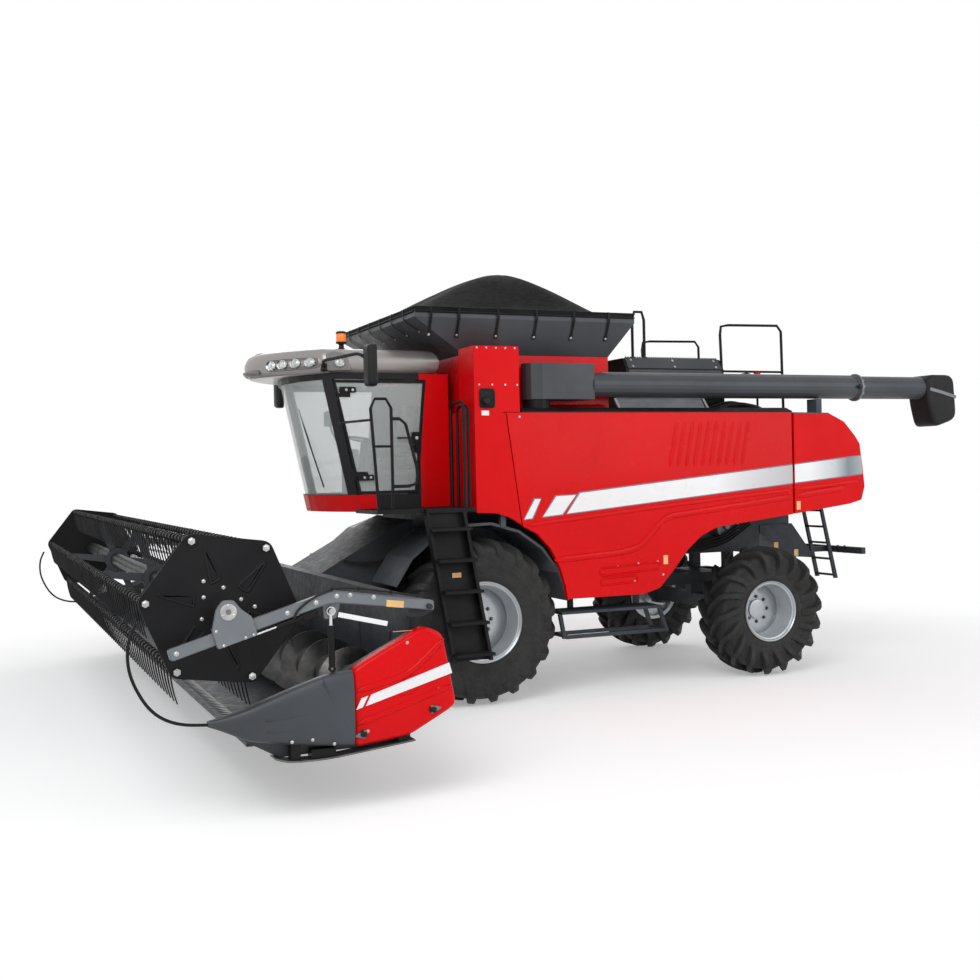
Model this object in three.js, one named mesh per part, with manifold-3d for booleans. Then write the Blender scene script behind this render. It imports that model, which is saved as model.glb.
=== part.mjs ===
// Combine harvester with its grain header, as a three.js scene graph in millimetres.
// +X is forward, +Y is the machine's left, +Z is up. Inside the machine group the front axle is at x = 0
// and the ground at z = 0; the last lines move the whole machine so that its box stands
// centred on the origin.
import * as THREE from "three";
import { mergeVertices } from "three/addons/utils/BufferGeometryUtils.js";
import Module from "manifold-3d";

const wasm = await Module();
wasm.setup();

// ---------------------------------------------------------------- clearances
const GAP = 0.3; // between fixed pieces that touch
const RUN = 0.2; // between a pin and the flats of its hole
const MOVE = 8; // between a moving piece and its neighbours
const JOIN = 2; // how far joined solids of one piece reach into each other

// ---------------------------------------------------------------- running gear
const wheelbase = 3700;
const front = { radius: 890, width: 780, rimRadius: 406, y: 1262, dish: 60, spindle: 95 };
const rear = { radius: 762, width: 480, rimRadius: 330, y: 1340, dish: -120, spindle: 60 };
const kingpinY = 1010;

// ---------------------------------------------------------------- body
const bodyHalf = 1620; // outside of the side panels
const panelThick = 60;
const panelTop = 3105;
const coreHalf = 780; // threshing body between the front tyres
const frontFaceX = 60; // front face of the side panels
const doorFrontX = -300;
const doorRearX = -wheelbase - 330;
const towerTop = 3810;
const towerRearX = -465;
const towerIn = 1200; // inner side of the tower, clear of the flared tank
const archRadius = 1085;
const archThick = 30;
const deckZ = 3060;
const deckThick = 30;

// ---------------------------------------------------------------- grain tank
const tank = { half: 1160, x0: -1800, x1: -10, bottom: 2480, top: 3760, wall: 60 };
const rim = { half: 1330, x0: -2060, x1: 600, z: 4215, band: 25 };
const coverRise = 630;

// ---------------------------------------------------------------- cab
const cab = {
  half: 950, floor: 2080, glassFrom: 2270, top: 3560, rearX: 90, footX: 1150, browX: 1420, bow: 300,
};
const cabWall = 60;
const pillar = 70;
const glass = 10;
const roofThick = 250;

// ---------------------------------------------------------------- header
const headerHalf = 4800; // inside of the end sheets
const endSheet = 60;
const shieldWide = 200; // an end shield, from the inside of its sheet to its outside
const shieldOut = headerHalf + shieldWide;
const feederHalf = 640;
const liftPivot = { x: 350, z: 1760 };
const headerAuger = { x: 2400, z: 900, tube: 150, flight: 285, pitch: 560, shaft: 35 };
const reelPivot = { x: 1850, z: 1480 };
const reel = { x: 3353, z: 1536, pins: 537, tube: 75, bat: 22, half: headerHalf - 100, shaft: 40 };
const armY = headerHalf + shieldWide / 2; // middle of the reel arms
const armThick = 60;
const stubReach = 60; // how far a carriage's stub shaft runs into the reel
const SHAFT_SIDES = 16;

// ---------------------------------------------------------------- axles and lift cylinders
const WHEEL_SIDES = 20;
const hubDepth = 45; // how far a hub's bore runs past the disc
const axleZ = front.radius;
const beamHalf = 130; // half of the front axle beam's section
const driveY0 = 640;
const driveY1 = front.y - front.width / 2 - 22;
const liftY = 430; // the lift cylinders lie this far to each side
const liftFoot = { x: 250, z: axleZ - 60 };
const liftEye = { x: 1250, z: 765 };
const liftPin = 22;
const liftLugThick = 30;
const knuckle = { pin: 34, half: 64, z: rear.radius };
const rearBeam = { halfX: 95, top: rear.radius + 100, bottom: rear.radius - 62 };
const forkInner = kingpinY - 130;
const steerArm = 240;

// ---------------------------------------------------------------- frame, core and deck
const coreBelly = 1160;
const railY = [330, 430];
const railZ = [axleZ + beamHalf + GAP, coreBelly - GAP];
const pivotTop = railZ[0] - GAP;
const coreRearX = doorRearX - 530;
const coreTopFront = tank.bottom - GAP;
const coreTopRear = deckZ - deckThick - GAP;
const rearSillZ = 1430;
const panelIn = bodyHalf - panelThick;
const cowlRise = 115; // the sloping cowl beside the tank, above the side panels
const cowlRearX = -1700;
const hitchHalf = 240;
const hitchZ = [800, 1000];
const hitchRearX = -wheelbase - 540;
const coolerY0 = 430;
const coolerY1 = 1000;
const coolerTop = 3780;
const lightBarHalf = 1300;

// ---------------------------------------------------------------- cab door, mirrors, platform and ladder
const doorZ = [cab.glassFrom, cab.top - 70];
const doorBorder = 30;
const doorThick = 30;
const hingeZ = [2480, 3330];
const hingeHalf = 28;
const hingePin = 12;
const mirrorAt = 1900;
const platform = { x0: 110, x1: 1180, y0: cab.half + 8, y1: 1690, z0: 2070, z1: 2110 };
const railYOut = 1665;
const ladder = { top: 2066, bottom: 545, leanY: 190, leanX: -190, x0: 250, x1: 690, y: 1700, tread: 200 };

// ---------------------------------------------------------------- unloading auger
const turretRadius = 150;
const elbow = { z0: 3255, z1: 3650, radius: 165 };
const augerPivot = { x: -780, y: 1380 };
const augerTube = { z: 3420, radius: 140, wall: 10, end: doorRearX - 2120 };
const tubeInside = augerTube.radius - augerTube.wall;

// ---------------------------------------------------------------- header beams and reel carriage
const pan = 25;
const backBeam = { x0: 1880, x1: 1985, z0: 1440, z1: 1540 };
const lowBeam = { x0: 1900, x1: 1990, z0: 560, z1: 640 };
const armLine = { x0: 2620, z0: 1590, x1: 3760, z1: 1254, half: 42 };
const reelFoot = { x: 2600, z: 1070 };
const reelEye = { x: 2600, z: 1490 };
const batSides = 8;
const starY = 1600;

// ================================================================ small library
const deg = THREE.MathUtils.degToRad;

function solid(geometry) {
  const g = geometry.index ? geometry.toNonIndexed() : geometry;
  for (const name of Object.keys(g.attributes)) if (name !== "position") g.deleteAttribute(name);
  const merged = mergeVertices(g, 1e-3);
  const all = merged.index.array;
  const kept = [];
  for (let i = 0; i < all.length; i += 3) {
    const [a, b, c] = [all[i], all[i + 1], all[i + 2]];
    if (a !== b && b !== c && c !== a) kept.push(a, b, c);
  }
  const vertProperties = new Float32Array(merged.attributes.position.array);
  const mesh = new wasm.Mesh({ numProp: 3, vertProperties, triVerts: new Uint32Array(kept) });
  const made = new wasm.Manifold(mesh);
  if (made.volume() > 0) return made;
  for (let i = 0; i < kept.length; i += 3) [kept[i + 1], kept[i + 2]] = [kept[i + 2], kept[i + 1]];
  return new wasm.Manifold(new wasm.Mesh({ numProp: 3, vertProperties, triVerts: new Uint32Array(kept) }));
}

const join = (...parts) => parts.flat().reduce((a, b) => a.add(b));
const cut = (body, ...tools) => tools.flat().reduce((a, b) => a.subtract(b), body);

function box(x0, x1, y0, y1, z0, z1) {
  const g = new THREE.BoxGeometry(x1 - x0, y1 - y0, z1 - z0);
  g.translate((x0 + x1) / 2, (y0 + y1) / 2, (z0 + z1) / 2);
  return solid(g);
}

function outline(points) {
  const shape = new THREE.Shape(points.map(([a, b]) => new THREE.Vector2(a, b)));
  return shape;
}

function extruded(shape, depth) {
  return new THREE.ExtrudeGeometry(shape, { depth, bevelEnabled: false, steps: 1, curveSegments: 8 });
}

// A prism along Y whose outline is given in X and Z.
function prismY(points, y0, y1) {
  const shape = points instanceof THREE.Shape ? points : outline(points);
  const g = extruded(shape, y1 - y0);
  g.rotateX(Math.PI / 2);
  g.translate(0, y1, 0);
  return solid(g);
}

// A prism along X whose outline is given in Y and Z.
function prismX(points, x0, x1) {
  const g = extruded(outline(points), x1 - x0);
  g.applyMatrix4(new THREE.Matrix4().set(0, 0, 1, x0, 1, 0, 0, 0, 0, 1, 0, 0, 0, 0, 0, 1));
  return solid(g);
}

// A prism along Z whose outline is given in X and Y.
function prismZ(points, z0, z1) {
  const g = extruded(outline(points), z1 - z0);
  g.translate(0, 0, z0);
  return solid(g);
}

// A closed solid through convex sections of equal point counts: each ring is a list of [x, y, z].
function loft(rings) {
  const n = rings[0].length;
  const index = [];
  for (let r = 0; r + 1 < rings.length; r++) {
    for (let i = 0; i < n; i++) {
      const a = r * n + i;
      const b = r * n + ((i + 1) % n);
      index.push(a, b, b + n, a, b + n, a + n);
    }
  }
  const last = (rings.length - 1) * n;
  for (let i = 1; i + 1 < n; i++) {
    index.push(0, i + 1, i);
    index.push(last, last + i, last + i + 1);
  }
  const g = new THREE.BufferGeometry();
  g.setAttribute("position", new THREE.Float32BufferAttribute(rings.flat(2), 3));
  g.setIndex(index);
  return solid(g);
}

// A round bar from a to b.
function bar(a, b, radius, sides = 12) {
  const from = new THREE.Vector3(...a);
  const to = new THREE.Vector3(...b);
  const g = new THREE.CylinderGeometry(radius, radius, from.distanceTo(to), sides);
  g.applyQuaternion(
    new THREE.Quaternion().setFromUnitVectors(new THREE.Vector3(0, 1, 0), to.clone().sub(from).normalize()),
  );
  g.translate(...from.add(to).multiplyScalar(0.5).toArray());
  return solid(g);
}

// A disc, ring or pin along Y, with its corners at fixed angles so that pins and holes line up.
const discY = (x, z, radius, y0, y1, sides = 24) => bar([x, y0, z], [x, y1, z], radius, sides);

// A bent tube through points, its corners rounded by the bend length.
function bentTube(points, radius, bend = 60, sides = 6) {
  const p = points.map((q) => new THREE.Vector3(...q));
  const path = new THREE.CurvePath();
  let start = p[0];
  for (let i = 1; i + 1 < p.length; i++) {
    const a = p[i].clone().addScaledVector(p[i].clone().sub(p[i - 1]).normalize(), -bend);
    const b = p[i].clone().addScaledVector(p[i + 1].clone().sub(p[i]).normalize(), bend);
    path.add(new THREE.LineCurve3(start, a));
    path.add(new THREE.QuadraticBezierCurve3(a, p[i], b));
    start = b;
  }
  path.add(new THREE.LineCurve3(start, p[p.length - 1]));
  const section = outline(
    Array.from({ length: sides }, (_, i) => {
      const t = (2 * Math.PI * i) / sides;
      return [radius * Math.cos(t), radius * Math.sin(t)];
    }),
  );
  const steps = Math.ceil(path.getLength() / (bend * 1.5));
  return solid(new THREE.ExtrudeGeometry(section, { steps, bevelEnabled: false, extrudePath: path }));
}

// A ring around Y from a closed profile of [radius, y] points.
function turned(profile, x, y, z, sides) {
  const g = new THREE.LatheGeometry(
    [...profile, profile[0]].map(([r, h]) => new THREE.Vector2(r, h)),
    sides,
  );
  g.translate(x, y, z);
  return solid(g);
}

const mirrorY = (s) => s.mirror([0, 1, 0]);

// ================================================================ scene graph
const paint = {
  red: new THREE.MeshStandardMaterial({ color: 0xc30a12, roughness: 0.35, metalness: 0.1 }),
  grey: new THREE.MeshStandardMaterial({ color: 0x4a4e52, roughness: 0.5, metalness: 0.2 }),
  black: new THREE.MeshStandardMaterial({ color: 0x17181a, roughness: 0.5, metalness: 0.2 }),
  silver: new THREE.MeshStandardMaterial({ color: 0xa9a7a4, roughness: 0.4, metalness: 0.4 }),
  tyre: new THREE.MeshStandardMaterial({ color: 0x141414, roughness: 0.9, metalness: 0 }),
  rim: new THREE.MeshStandardMaterial({ color: 0xaab0b4, roughness: 0.4, metalness: 0.3 }),
  steel: new THREE.MeshStandardMaterial({ color: 0x8d9094, roughness: 0.35, metalness: 0.9 }),
  glass: new THREE.MeshStandardMaterial({ color: 0xb4c6c6, roughness: 0.1, metalness: 0 }),
  cloth: new THREE.MeshStandardMaterial({ color: 0x1d1d1f, roughness: 0.8, metalness: 0 }),
  plastic: new THREE.MeshStandardMaterial({ color: 0x202124, roughness: 0.6, metalness: 0 }),
  amber: new THREE.MeshStandardMaterial({ color: 0xe8641b, roughness: 0.3, metalness: 0 }),
};

const machine = new THREE.Group();

function node(name, shape, material) {
  const made = shape.getMesh();
  const count = made.numProp;
  const positions = new Float32Array(made.numVert * 3);
  for (let i = 0; i < made.numVert; i++) {
    positions.set(made.vertProperties.subarray(i * count, i * count + 3), i * 3);
  }
  const g = new THREE.BufferGeometry();
  g.setAttribute("position", new THREE.BufferAttribute(positions, 3));
  g.setIndex(new THREE.BufferAttribute(new Uint32Array(made.triVerts), 1));
  g.computeVertexNormals();
  const mesh = new THREE.Mesh(g, material);
  mesh.name = name;
  machine.add(mesh);
}

function pair(leftName, rightName, shape, material) {
  node(leftName, shape, material);
  node(rightName, mirrorY(shape), material);
}

// ================================================================ wheels and axles

function tyre(w, x) {
  const half = w.width / 2;
  const bore = w.rimRadius + 3;
  const bead = half - 30;
  const lip = w.rimRadius + 34;
  const wall = (lip + w.radius) / 2;
  const right = [
    [bore, bead],
    [lip, bead],
    [wall, half],
    [w.radius - 60, half - 16],
    [w.radius, half - 70],
  ];
  const left = right.map(([r, y]) => [r, -y]).reverse();
  return turned([...right, ...left], x, w.y, w.radius, WHEEL_SIDES);
}

// A dished rim with a blind hub that runs on its spindle.
function wheelRim(w, x) {
  const flange = w.width / 2 - 30 + GAP;
  const inner = w.rimRadius - 14;
  const bore = (w.spindle + RUN) / Math.cos(Math.PI / WHEEL_SIDES);
  const hub = w.spindle + 75;
  return turned(
    [
      [0, w.dish + 75],
      [hub - 40, w.dish + 75],
      [hub - 20, w.dish + 22],
      [inner, w.dish + 10],
      [inner, flange],
      [w.rimRadius + 26, flange + 12],
      [w.rimRadius + 26, flange],
      [w.rimRadius, flange],
      [w.rimRadius, -flange],
      [w.rimRadius + 26, -flange],
      [w.rimRadius + 26, -flange - 12],
      [inner, -flange],
      [inner, w.dish - 10],
      [hub, w.dish - 10],
      [hub, w.dish - 90],
      [bore, w.dish - 90],
      [bore, w.dish + hubDepth],
      [0, w.dish + hubDepth],
    ],
    x,
    w.y,
    w.radius,
    WHEEL_SIDES,
  );
}

pair("left_front_tyre", "right_front_tyre", tyre(front, 0), paint.tyre);
pair("left_front_rim", "right_front_rim", wheelRim(front, 0), paint.rim);
pair("left_rear_tyre", "right_rear_tyre", tyre(rear, -wheelbase), paint.tyre);
pair("left_rear_rim", "right_rear_rim", wheelRim(rear, -wheelbase), paint.rim);

function frontAxle() {
  const halves = [1, -1].map((side) => {
    const drive = prismY(
      [
        [-190, axleZ - 150],
        [-110, axleZ - 230],
        [110, axleZ - 230],
        [190, axleZ - 150],
        [170, axleZ + 190],
        [90, axleZ + 240],
        [-90, axleZ + 240],
        [-170, axleZ + 190],
      ],
      driveY0,
      driveY1,
    );
    const spindleEnd = front.y + front.dish + hubDepth - GAP;
    const spindle = discY(0, axleZ, front.spindle, driveY1 - JOIN, spindleEnd, WHEEL_SIDES);
    const s = join(drive, spindle);
    return side > 0 ? s : mirrorY(s);
  });
  const beam = box(-beamHalf, beamHalf, -driveY0 - JOIN, driveY0 + JOIN, axleZ - beamHalf, axleZ + beamHalf);
  const lugs = [-1, 1].map((side) => liftLug(side * liftY));
  return join(beam, halves, lugs);
}

function liftLug(y) {
  const half = 62;
  const plate = (at) =>
    prismY(
      [
        [beamHalf - JOIN, liftFoot.z - 70],
        [liftFoot.x, liftFoot.z - 62],
        [liftFoot.x + 50, liftFoot.z],
        [liftFoot.x, liftFoot.z + 62],
        [beamHalf - JOIN, liftFoot.z + 90],
      ],
      at - liftLugThick / 2,
      at + liftLugThick / 2,
    );
  const pin = discY(liftFoot.x, liftFoot.z, liftPin, y - half - 20, y + half + 20, 12);
  return join(plate(y - half), plate(y + half), pin);
}

// ---------------------------------------------------------------- rear axle, knuckles and tie rod

function rearAxle() {
  const x = -wheelbase;
  const { halfX, bottom, top } = rearBeam;
  const beam = box(x - halfX, x + halfX, -forkInner, forkInner, bottom, top);
  const fork = () => {
    const z0 = knuckle.z - knuckle.half;
    const z1 = knuckle.z + knuckle.half;
    const plate = (za, zb) => box(x - 70, x + 70, forkInner - JOIN, kingpinY + 55, za, zb);
    const cheek = box(x - 70, x + 70, forkInner - 60, forkInner, z0 - 45, z1 + 45);
    const pin = bar([x, kingpinY, z0 - 45 - 10], [x, kingpinY, z1 + 45 + 10], knuckle.pin, 16);
    return join(cheek, plate(z1, z1 + 45), plate(z0 - 45, z0), pin);
  };
  const pivot = box(x - 150, x + 150, -70, 70, rearBeam.top - JOIN, pivotTop);
  return join(beam, fork(), mirrorY(fork()), pivot);
}

function steeringKnuckle() {
  const x = -wheelbase;
  const z0 = knuckle.z - knuckle.half + GAP;
  const z1 = knuckle.z + knuckle.half - GAP;
  const block = prismZ(
    [
      [x - 75, kingpinY - 40],
      [x - 40, kingpinY - 75],
      [x + 40, kingpinY - 75],
      [x + 75, kingpinY - 40],
      [x + 75, kingpinY + 75],
      [x - 75, kingpinY + 75],
    ],
    z0,
    z1,
  );
  const spindleEnd = rear.y + rear.dish + hubDepth - GAP;
  const spindle = discY(x, knuckle.z, rear.spindle, kingpinY + 60, spindleEnd, WHEEL_SIDES);
  const arm = box(x - steerArm - 35, x - 60, kingpinY - 35, kingpinY + 35, z0, z0 + 45);
  const bore = bar(
    [x, kingpinY, z0 - 5],
    [x, kingpinY, z1 + 5],
    (knuckle.pin + RUN) / Math.cos(Math.PI / 16),
    16,
  );
  return cut(join(block, spindle, arm), bore);
}

// ================================================================ frame and body

function mainFrame() {
  const parts = [1, -1].flatMap((side) => {
    const y0 = side > 0 ? railY[0] : -railY[1];
    const y1 = side > 0 ? railY[1] : -railY[0];
    return [
      box(-wheelbase - 420, 200, y0, y1, railZ[0], railZ[1]),
      box(-wheelbase + 620, -wheelbase + 740, y0, y1, railZ[1] - JOIN, rearSillZ - GAP),
      box(-wheelbase - 260, -wheelbase - 140, y0, y1, railZ[1] - JOIN, rearSillZ - GAP),
    ];
  });
  const cross = (x0, x1, z0 = railZ[0], z1 = railZ[1]) =>
    box(x0, x1, -railY[0] - JOIN, railY[0] + JOIN, z0, z1);
  const hitch = box(-wheelbase - 420, -wheelbase - 360, -hitchHalf, hitchHalf, hitchZ[0], railZ[0] + JOIN);
  const tongue = box(hitchRearX, -wheelbase - 420 + JOIN, -90, 90, hitchZ[0], hitchZ[0] + 160);
  return join(
    parts,
    cross(-120, 120),
    cross(-1500, -1400),
    cross(-wheelbase - 160, -wheelbase + 160),
    cross(-wheelbase - 420, -wheelbase - 360),
    hitch,
    tongue,
  );
}

function bodyCore() {
  const belly = prismY(
    [
      [240, coreBelly],
      [240, cab.floor - GAP],
      [tank.x1 + 6, cab.floor - GAP],
      [tank.x1 + 6, coreTopFront],
      [tank.x0, coreTopFront],
      [tank.x0 - 5, coreTopRear],
      [coreRearX + 140, coreTopRear],
      [coreRearX, 2900],
      [coreRearX, 1745],
      [doorRearX - 80, 1745],
      [doorRearX - 80, rearSillZ],
      [-wheelbase + 820, rearSillZ],
      [-wheelbase + 1100, coreBelly],
    ],
    -coreHalf,
    coreHalf,
  );
  // Walls that carry the side panels, ahead of and behind the service bays.
  const bulkhead = (x0, x1, z0, z1) => [
    box(x0, x1, coreHalf - JOIN, bodyHalf - panelThick - MOVE, z0, z1),
    box(x0, x1, -bodyHalf + panelThick + MOVE, -coreHalf + JOIN, z0, z1),
  ];
  const well = box(tank.x0 - 6, tank.x1 + 6, -tank.half - 6, tank.half + 6, coreTopFront, tank.top);
  const walls = [
    bulkhead(-560, -520, 2130, coreTopRear),
    bulkhead(doorRearX + 40, doorRearX + 80, 1960, coreTopRear),
  ].flat();
  const brackets = [1, -1].map((side) => {
    const b = cut(
      box(238, liftPivot.x + 90, feederHalf + GAP, feederHalf + 60, liftPivot.z - 120, liftPivot.z + 120),
      discY(liftPivot.x, liftPivot.z, (60 + RUN) / Math.cos(Math.PI / 16), feederHalf, feederHalf + 100, 16),
    );
    return side > 0 ? b : mirrorY(b);
  });
  return join(cut(join(belly, walls), well), brackets);
}

function serviceDeck() {
  const hole = 4;
  const deckHalf = bodyHalf - panelThick - MOVE;
  const plate = box(doorRearX + 20, towerRearX - 20, -deckHalf, deckHalf, deckZ - deckThick, deckZ);
  const hinges = [1, -1].map((side) => {
    const h = prismX(
      [
        [panelIn - 60, deckZ - JOIN],
        [panelIn - MOVE, deckZ - JOIN],
        [panelIn - MOVE, panelTop + GAP],
        [bodyHalf, panelTop + GAP],
        [bodyHalf, panelTop + 14],
        [panelIn - 60, panelTop + 60],
      ],
      doorRearX + 20,
      doorFrontX - 190,
    );
    return side > 0 ? h : mirrorY(h);
  });
  const well = box(tank.x0 - hole, 500, -tank.half - hole, tank.half + hole, deckZ - 100, deckZ + 100);
  const cooler = prismX(
    [
      [coolerY0, deckZ - JOIN],
      [coolerY1, deckZ - JOIN],
      [coolerY1, coolerTop - 130],
      [coolerY1 - 90, coolerTop],
      [coolerY0, coolerTop],
    ],
    doorRearX + 550,
    -2130,
  );
  const { x: px, y: py } = augerPivot;
  const turret = bar([px, py, deckZ - JOIN], [px, py, elbow.z0 - GAP], turretRadius, 20);
  const rail = (points) => bentTube(points, 17, 70, 6);
  const grabRail = (y) =>
    rail([
      [doorRearX + 510, y, floor],
      [doorRearX + 550, y, 4200],
      [doorRearX - 350, y, 4215],
      [doorRearX - 370, y, 3106],
    ]);
  const floor = deckZ - 10;
  const rails = [
    grabRail(930),
    bar([doorRearX + 530, 930, 3640], [doorRearX - 360, 930, 3640], 14, 6),
    rail([
      [-2290, 880, coolerTop - 60],
      [-2290, 880, 4340],
      [-2450, 880, 4340],
      [-2450, 880, coolerTop - 60],
    ]),
    grabRail(-930),
    bar([doorRearX + 530, -930, 3640], [doorRearX - 360, -930, 3640], 14, 6),
  ];
  return join(cut(plate, well), hinges, cooler, turret, rails);
}

// ---------------------------------------------------------------- side panels

const doorOutline = [
  [doorFrontX - 9, panelTop],
  [doorFrontX - 171, 1890],
  [-640, 1800],
  [-800, 1630],
  [-905, 1430],
  [-970, 1220],
  [-990, 1075],
  [-wheelbase + 1750, 1075],
  [-wheelbase + 1550, 1130],
  [-wheelbase + 1340, 1345],
  [-wheelbase + 1170, 1545],
  [-wheelbase + 985, 1695],
  [-wheelbase + 755, 1790],
  [-wheelbase + 350, 1830],
  [doorRearX + 33, 1900],
  [doorRearX + 33, panelTop],
];

function sideDoor() {
  return prismY(doorOutline, panelIn, bodyHalf);
}

function frontPanel(cowlCut) {
  const skin = prismY(
    [
      [frontFaceX, 2050],
      [frontFaceX, panelTop],
      [doorFrontX + 3, panelTop],
      [doorFrontX - 158, 1905],
      [-330, 1985],
      [-180, 2035],
    ],
    panelIn,
    bodyHalf,
  );
  const face = box(frontFaceX - panelThick, frontFaceX, cab.half + 40, panelIn + JOIN, 2050, panelTop + 20);
  const tower = box(towerRearX, frontFaceX, towerIn, bodyHalf, panelTop + 6, towerTop);
  const web = box(doorFrontX + 40, frontFaceX, towerIn, bodyHalf, panelTop - 60, panelTop + 20);
  const tab = box(-300, -240, panelIn - 60, panelIn + JOIN, 1880, 2140);
  const cowl = prismX(
    [
      [tank.half + MOVE, deckZ + GAP],
      [panelIn - 64, deckZ + GAP],
      [panelIn - 64, panelTop + 20],
      [tank.half + MOVE, panelTop + cowlRise],
    ],
    cowlRearX,
    towerRearX + JOIN,
  );
  return join(skin, face, web, tower, tab, fender(), cut(cowl, cowlCut));
}

// The inner wheel arch: a curved sheet over the back of the front tyre.
function fender() {
  const steps = 8;
  const [from, to] = [24, 171];
  const ring = (radius) =>
    Array.from({ length: steps + 1 }, (_, i) => {
      const a = deg(from + ((to - from) * i) / steps);
      return [Math.cos(a) * radius, axleZ + Math.sin(a) * radius];
    });
  const outer = archRadius - 25;
  return prismY([...ring(outer), ...ring(outer - archThick).reverse()], coreHalf + GAP, panelIn - 10);
}

function rearHood() {
  const outer = [
    [doorRearX, 1905],
    [doorRearX, panelTop],
    [doorRearX - 501, 3099],
    [doorRearX - 739, 2990],
    [doorRearX - 895, 2823],
    [doorRearX - 967, 2725],
    [doorRearX - 1009, 2431],
    [doorRearX - 1033, 2202],
    [doorRearX - 981, 2042],
    [doorRearX - 797, 1997],
  ];
  const inner = [
    [doorRearX + 50, 1800],
    [doorRearX + 50, panelTop - panelThick],
    [doorRearX - 485, 3039],
    [doorRearX - 690, 2945],
    [doorRearX - 840, 2790],
    [doorRearX - 908, 2705],
    [doorRearX - 950, 2431],
    [doorRearX - 970, 2210],
    [doorRearX - 960, 1800],
  ];
  const shelf = [1, -1].map((side) => {
    const s = box(doorRearX - 470, doorRearX - 70, coreHalf + GAP, panelIn + JOIN, 2400, 2440);
    return side > 0 ? s : mirrorY(s);
  });
  return join(cut(prismY(outer, -bodyHalf, bodyHalf), prismY(inner, -panelIn, panelIn)), shelf, saddle());
}

// The rest on the rear hood that the stowed unloading tube lies in.
function saddle() {
  const x0 = doorRearX - 530;
  const x1 = doorRearX - 450;
  const y = augerPivot.y;
  const post = box(x0, x1, y - 90, y + 90, 3085, augerTube.z - augerTube.radius - 6);
  return post;
}

function strawChopper() {
  const side = [
    [doorRearX - 83, 1745 - GAP],
    [doorRearX - 83, 1640],
    [doorRearX - 530, 1330],
    [doorRearX - 870, 1300],
    [doorRearX - 870, 1360],
    [doorRearX - 570, 1745 - GAP],
  ];
  return prismY(side, -790, 790);
}

// Ladder behind the machine, with the bar that carries the rear lights.
function rearLadder() {
  const y0 = 620;
  const y1 = 980;
  const stringer = (y) => prismY(
    [
      [doorRearX - 840, 1960],
      [doorRearX - 880, 1960],
      [doorRearX - 1100, 1040],
      [doorRearX - 1050, 1040],
    ],
    y,
    y + 30,
  );
  const rungs = [0, 1, 2, 3, 4].map((i) => {
    const t = i / 4;
    const x = doorRearX - 865 - 200 * t;
    const z = 1900 - 820 * t;
    return box(x - 22, x + 22, y0 + 10, y1, z - 12, z + 12);
  });
  const lightBar = box(doorRearX - 1300, doorRearX - 1240, -lightBarHalf, lightBarHalf, 1350, 1430);
  const arms = [1, -1].map((side) => {
    const a = prismY(
      [
        [doorRearX - 810, 1350],
        [doorRearX - 810, 1420],
        [doorRearX - 1245, 1420],
        [doorRearX - 1245, 1350],
      ],
      560,
      600,
    );
    return side > 0 ? a : mirrorY(a);
  });
  const tie = box(doorRearX - 1030, doorRearX - 930, 595, y0 + 12, 1360, 1420);
  return join(stringer(y0), stringer(y1), rungs, lightBar, arms, tie);
}

function sideStep() {
  const plate = box(-wheelbase + 1510, -925, 1230, 1600, 905, 935);
  const lower = box(-wheelbase + 1430, -980, 1560, 1600, 635, 675);
  const bar2 = box(-wheelbase + 1430, -980, 1230, 1270, 635, 675);
  const ends = [
    [-980, -930],
    [-wheelbase + 1430, -wheelbase + 1520],
  ].flatMap(([xb, xt]) =>
    [1230, 1560].map((y) =>
      prismY(
        [
          [xb, 640],
          [xb + 40, 640],
          [xt + 40, 910],
          [xt, 910],
        ],
        y,
        y + 40,
      ),
    ),
  );
  const cross = [-1010, -wheelbase + 1450].map((x) => box(x - 20, x + 20, 1230, 1600, 640, 670));
  const hangers = [-1250, -wheelbase + 1600].map((x) => box(x, x + 60, railY[1] - JOIN, 1240, 1060, 1100));
  const drops = [-1250, -wheelbase + 1600].map((x) => box(x, x + 60, 1200, 1240, 905, 1100));
  return join(plate, lower, bar2, ends, cross, hangers, drops);
}

// ================================================================ grain tank
function grainTank() {
  const t = tank;
  const outer = box(t.x0, t.x1, -t.half, t.half, t.bottom, t.top);
  const inside = t.half - t.wall;
  const inner = box(t.x0 + t.wall, t.x1 - t.wall, -inside, inside, t.bottom + t.wall, t.top + 10);
  return cut(outer, inner);
}

const rectRing = (x0, x1, half, z) => [
  [x0, -half, z],
  [x1, -half, z],
  [x1, half, z],
  [x0, half, z],
];

function tankExtension() {
  const t = tank;
  const z0 = t.top + GAP;
  const w = rim.band;
  const outer = loft([
    rectRing(t.x0, t.x1, t.half, z0),
    rectRing(rim.x0, rim.x1, rim.half, rim.z - 80),
    rectRing(rim.x0, rim.x1, rim.half, rim.z),
  ]);
  const inner = loft([
    rectRing(t.x0 + w, t.x1 - w, t.half - w, z0 - 1),
    rectRing(rim.x0 + w, rim.x1 - w, rim.half - w, rim.z - 78),
    rectRing(rim.x0 + w, rim.x1 - w, rim.half - w, rim.z + 1),
  ]);
  return cut(outer, inner);
}

// The cover: a tent over the rim, hollow underneath.
function tankCover() {
  const z0 = rim.z + GAP;
  const shell = (d, drop) =>
    loft([
      rectRing(rim.x0 - 12 + d, rim.x1 + 12 - d, rim.half + 12 - d, z0 - drop),
      rectRing(rim.x0 - 12 + d, rim.x1 + 12 - d, rim.half + 12 - d, z0 + 20 - drop),
      rectRing(-1640, -60, 760, z0 + 400 - drop),
      rectRing(-1330, -520, 330, z0 + 590 - drop),
      rectRing(-1200, -700, 120, z0 + coverRise - drop),
    ]);
  return cut(shell(0, 0), shell(15, 15));
}

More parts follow.
